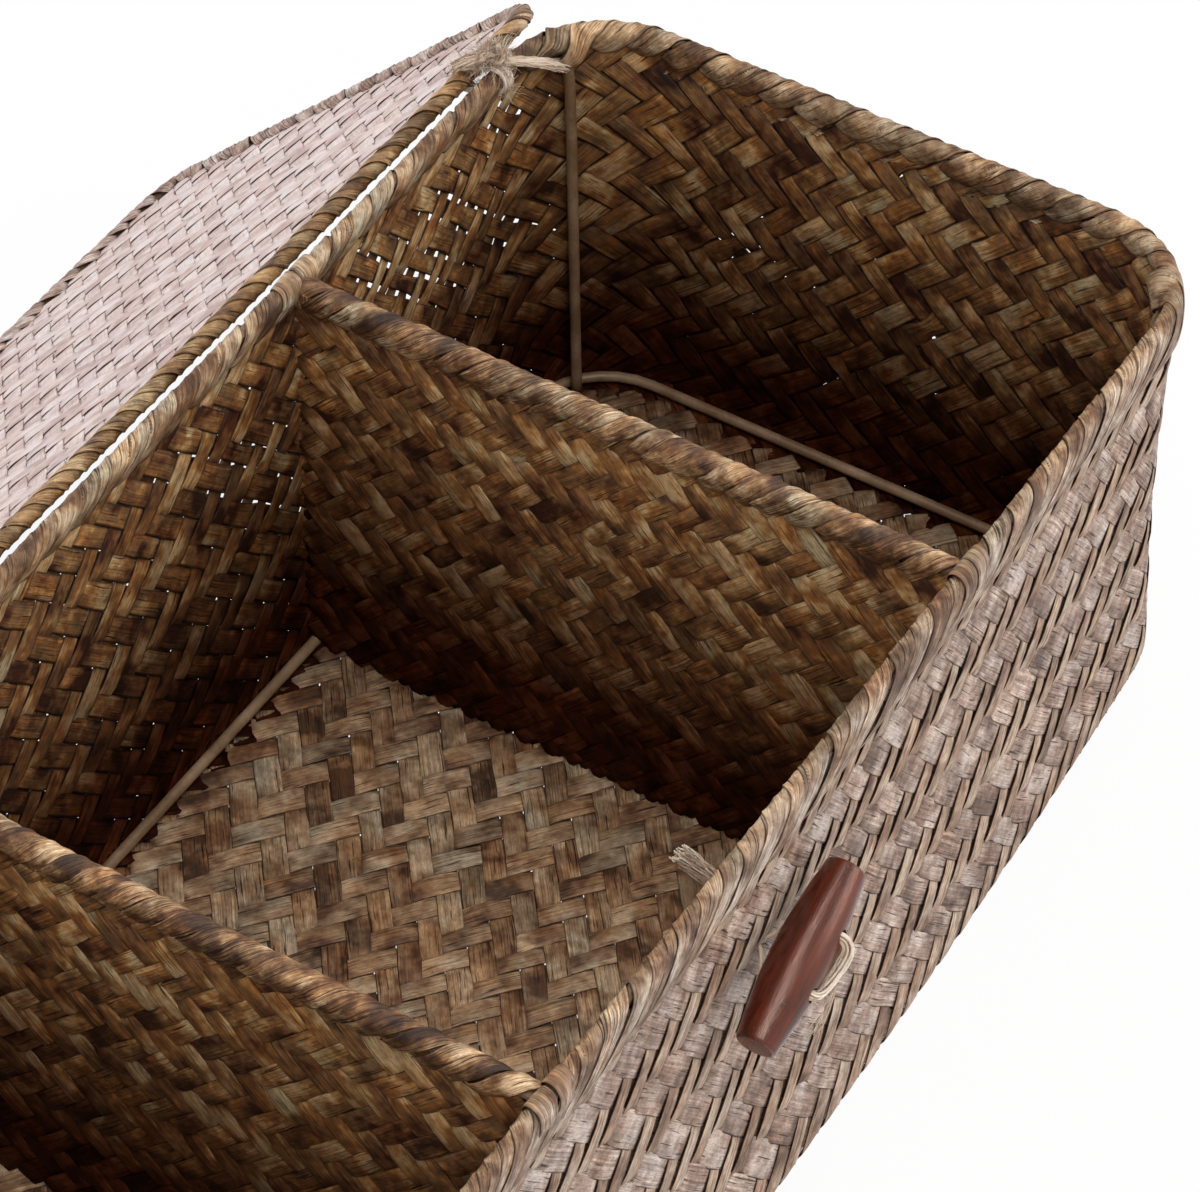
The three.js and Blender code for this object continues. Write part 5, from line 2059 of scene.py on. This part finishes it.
@dataclass
class Toggle:
    """A turned wooden barrel with two holes, stitched on with jute that is knotted inside."""

    length: float = 45.0
    settled: Pair = (0.3, -1.0)
    middle: float = 13.2
    end: float = 9.2
    rounding: float = 0.9
    hole: float = 3.6
    hole_spacing: float = 14.5
    standoff: float = 9.35

    def place(self, points: Array) -> Array:
        """Turns points from the toggle's own frame into the basket's.

        Its X end leans in towards the wall by one angle, about the place where the cord leaves the
        wall, and then rises by the other. The whole has settled a little in y and z on its cord.

        Args:
            points: points in the toggle's own frame, in millimetres.

        Returns:
            The points in the basket's frame.
        """
        x, y = turned(points[..., 0], points[..., 1] - self.standoff, TOGGLE_LEAN)
        x, z = turned(x, points[..., 2], TOGGLE_TILT)
        return np.stack([x, y + self.standoff, z], -1) + [0.0, *self.settled] + np.array(TOGGLE_PLACE)

    def lathe(self, name: str, along: Array, radius: Array, sides: int, through: bool) -> Mesh:
        """A closed turned body: ring points = (along, radius x cos, radius x sin), with end points.

        Args:
            name: the mesh's name.
            along: places along the axis.
            radius: radius at each.
            sides: points round it.
            through: whether the axis runs through the toggle and not along it.

        Returns:
            The mesh.
        """
        angle = np.linspace(0, 2 * np.pi, sides, endpoint=False)
        shape = (len(along), sides)
        rings = np.stack([np.broadcast_to(along[:, None], shape), radius[:, None] * np.cos(angle),
                          radius[:, None] * np.sin(angle)], -1).reshape(-1, 3)
        points = np.concatenate([rings, [[along[0], 0, 0], [along[-1], 0, 0]]])
        if through:
            points = points[:, [1, 0, 2]]
        quads, _, last = tube_faces(1, *shape)
        first, last = np.arange(sides), last[0]
        caps = [np.stack([np.full(sides, len(rings)), np.roll(first, -1), first], -1),
                np.stack([np.full(sides, len(rings) + 1), last, np.roll(last, -1)], -1)]
        return new_mesh(name, points, [quads, *caps])

    def barrel(self) -> Mesh:
        """The barrel with its two holes.

        Radius = end + (middle - end) x cos of a quarter turn along, with a quarter circle rounding
        each end.

        Returns:
            The mesh, in the basket's frame.
        """
        half = self.length / 2
        along = np.linspace(-1, 1, 61) * (half - self.rounding)
        radius = (self.end + (self.middle - self.end) * np.cos(np.pi / 2 * along / half)) / 2
        turn = np.linspace(0, np.pi / 2, 6)[1:]
        tip = half - self.rounding + self.rounding * np.sin(turn)
        lip = radius[-1] - self.rounding * (1 - np.cos(turn))
        along = np.concatenate([-tip[::-1], along, tip])
        radius = np.concatenate([lip[::-1], radius, lip])
        body = link("barrel", self.lathe("barrel", along, radius, sides=72, through=False))
        cutters = []
        for side in (-1, 1):
            drill = self.lathe("drill", np.array([-10.0, 10.0]), np.full(2, self.hole / 2), sides=28,
                               through=True)
            cutter = link("drill", drill)
            cutter.location = (side * self.hole_spacing / 2 * MM, 0, 0)
            cutting = body.modifiers.new("hole", "BOOLEAN")
            cutting.object = cutter
            cutting.operation = "DIFFERENCE"
            cutting.solver = "EXACT"
            cutters.append(cutter)
        bpy.context.view_layer.update()
        bored = bpy.data.meshes.new_from_object(body.evaluated_get(bpy.context.evaluated_depsgraph_get()))
        for item in (*cutters, body):
            bpy.data.objects.remove(item)
        points = vertices_of(bored)
        add_numbers(bored, {name: column / MM for name, column in zip(GRAIN_NUMBERS, points.T)})
        placed = self.place(points.astype(float) / MM) * MM
        bored.vertices.foreach_set("co", placed.astype(np.float32).ravel())
        bored.materials.clear()
        bored.set_sharp_from_angle(angle=math.radians(40))
        bored.name = "toggle_barrel"
        bored.update()
        return bored

    def build(self, wood: Material, jute: Material) -> None:
        """Turns the barrel and stitches it on.

        Args:
            wood, jute: the materials.
        """
        add_piece(self.barrel(), wood, "toggle", ["toggle"])
        twine = Twine(seed=81, ply_radius=0.55)
        bundle = Bundle()
        hole, inside = self.hole_spacing / 2, self.standoff + 1.9
        knot_y = inside + 3.2
        for side in (-1, 1):
            leg = [(side, knot_y, 0), (0.8 * side, inside, -0.4), (1.0 * side, self.standoff, -0.8),
                   (3.4 * side, 7.7, -1.6), (5.8 * side, 6.9, -1.4), (hole * side, 5.4, -0.4),
                   (hole * side, 0, 0)]
            twine.strand(bundle, self.place(smooth_path(leg, 40)), wide=(0, 0, 1), count=14,
                         half_width=0.5, half_height=0.4)
        stitch = self.place(smooth_path([
            (hole, 2.0, 0), (hole, -4.6, 0), (7.1, -6.9, -0.8), (5.6, -7.7, -2.8), (2.4, -7.2, -4.4),
            (-1.4, -6.6, -4.6), (-4.9, -6.3, -3.2), (-6.9, -5.9, -1.2), (-hole, -4.0, 0),
            (-hole, 2.0, 0)], 64))
        twine.strand(bundle, stitch, wide=(0, -1, 0.4), count=34, half_width=1.7, half_height=1.0,
                     radius=0.25)
        twine.hairs(bundle, stitch[18:54], count=120, length=3.4, stand=0.5)
        loose = self.place(smooth_path([
            (0.0, -7.6, -5.2), (-4.5, -8.2, -6.4), (-9.0, -8.0, -7.4), (-13.0, -7.4, -7.6)], 16))
        twine.frayed_end(bundle, loose, way=(0, 0, 1), count=16, narrow=0.9, wide=2.6, radius=0.08)
        axes = np.array([[1.0, 0, 0], [0, 0, 1.0], [0, -1.0, 0]])
        knot = self.place(knot_path((0.0, knot_y, 0.0), 1.15, axes, 90))
        twine.lay_plies(bundle, knot)
        twine.hairs(bundle, knot, count=160, length=3.5)
        tail = smooth_path([
            (-2.5, -85.0, 88.0), (-1.0, -80.5, 93.5), (-2.0, -74.5, 99.5), (-4.7, -69.5, 105.0)], 18)
        twine.frayed_end(bundle, tail, way=(0.52, -0.85, 0.0), count=130, narrow=1.7, wide=3.2,
                         radius=0.22)
        add_piece(bundle.build("toggle_stitch"), jute, "toggle", ["toggle_cord"])


@dataclass(frozen=True)
class SoftLight:
    """A soft light that faces a point, square where it has no breadth of its own."""

    name: str
    place: Point
    target: Point
    size: float
    power: float
    breadth: float | None = None

    def build(self) -> None:
        """Hangs the light."""
        data = bpy.data.lights.new(self.name, "AREA")
        data.shape = "RECTANGLE"
        data.size = self.size
        data.size_y = self.breadth or self.size
        data.energy = self.power
        lamp = link(self.name, data)
        lamp.location = self.place
        way = Vector(self.place) - Vector(self.target)
        lamp.rotation_euler = way.to_track_quat("Z", "Y").to_euler()


@dataclass
class Studio:
    """The pale floor, the soft lights and the camera."""

    place: Point = (-0.61004, -0.41049, 0.89315)
    azimuth: float = -59.17
    elevation: float = 45.677
    roll: float = 1.077
    lens: float = 149.62
    lights: tuple[SoftLight, ...] = (
        SoftLight("key", (-0.55, -0.75, 1.7), (0.0, 0.0, 0.05), size=0.6, power=8.2),
        SoftLight("side", (0.9, -1.2, 0.8), (0.0, -0.05, 0.05), size=0.9, power=7.0),
        SoftLight("back", (0.2, 1.7, 1.2), (0.0, 0.15, 0.05), size=1.2, power=7.0),
        SoftLight("strip", (0.04, -0.2, 1.68), (0.04, -0.2, 0.0), size=0.8, power=4.2, breadth=0.09))

    def build(self) -> None:
        """Sets the stage."""
        self.camera()
        self.floor()
        for light in self.lights:
            light.build()
        world = bpy.data.worlds.new("studio")
        bpy.context.scene.world = world
        world.use_nodes = True
        nodes = Nodes(world.node_tree)
        background = nodes.add("ShaderNodeBackground")
        nodes.put((1.0, 1.0, 1.0), background.inputs["Color"])
        nodes.put(self.seen(nodes, 0.75, 1.0), background.inputs["Strength"])
        nodes.put(background.outputs[0], nodes.add("ShaderNodeOutputWorld").inputs["Surface"])
        bpy.context.scene.view_settings.view_transform = "Standard"

    def seen(self, nodes: Nodes, plain: float, shown: float) -> Socket:
        """A value that is one number for light and another where the background itself is seen.

        Args:
            nodes: the tree.
            plain: the number for light.
            shown: the number where it is seen.

        Returns:
            The value.
        """
        path = nodes.add("ShaderNodeLightPath")
        total = path.outputs["Is Camera Ray"]
        for name in ("Is Glossy Ray", "Is Transmission Ray"):
            total = nodes.math("MAXIMUM", total, path.outputs[name])
        return nodes.scaled(total, 0.0, 1.0, plain, shown)

    def camera(self) -> None:
        """Puts the camera where the photograph was taken from."""
        azimuth, elevation, roll = (math.radians(v) for v in (self.azimuth, self.elevation, self.roll))
        back = Vector((math.sin(azimuth) * math.cos(elevation), -math.cos(azimuth) * math.cos(elevation),
                       math.sin(elevation)))
        right = Vector((0, 0, 1)).cross(back).normalized()
        up = back.cross(right)
        rolled = right * math.cos(roll) + up * math.sin(roll)
        data = bpy.data.cameras.new("camera")
        data.sensor_width = 36.0
        data.lens = self.lens
        data.clip_end = 20.0
        camera = link("camera", data)
        columns = (rolled, back.cross(rolled), back)
        camera.matrix_world = Matrix.Translation(self.place) @ Matrix(columns).transposed().to_4x4()
        bpy.context.scene.camera = camera

    def floor(self) -> None:
        """A wide pale floor that looks white and keeps the basket's shadow."""
        mesh = bpy.data.meshes.new("floor")
        mesh.from_pydata([(-6, -6, 0), (6, -6, 0), (6, 6, 0), (-6, 6, 0)], [], [(0, 1, 2, 3)])
        floor = link("floor", mesh)
        finish = Finish("pale_floor")
        finish.shade(linear(232, 232, 232), 0.9, 0.2)
        joined = finish.add("ShaderNodeMixShader")
        shaders = (finish.shader.outputs[0], finish.add("ShaderNodeEmission").outputs[0])
        for value, socket in zip((self.seen(finish, 0.0, 0.92), *shaders), joined.inputs):
            finish.put(value, socket)
        finish.put(joined.outputs[0], finish.output.inputs["Surface"])
        mesh.materials.append(finish.material)


def main() -> None:
    """Builds the basket piece by piece and notes its size."""
    logging.basicConfig(level=logging.INFO, format="%(name)s: %(message)s")
    Studio().build()
    woven, rail_sedge, jute = WOVEN.build(), RAIL_SEDGE.build(), JUTE.build()
    WovenBody().build(woven, FLOOR_SEDGE.build())
    WireFrame().build(PAINT.build())
    Rim().build(RIM_SEDGE.build())
    Divider(-DIVIDER_X, "left", seed=31).build(woven, rail_sedge)
    Divider(DIVIDER_X, "right", seed=35).build(woven, rail_sedge)
    Lid().build(LID_SEDGE.build(), LID_EDGE_SEDGE.build())
    HingeTie(-1, "left", tail=TAIL_OVER_RIM).build(jute)
    HingeTie(1, "right").build(jute)
    Toggle().build(WOOD.build(), jute)


if __name__ == "__main__":
    main()
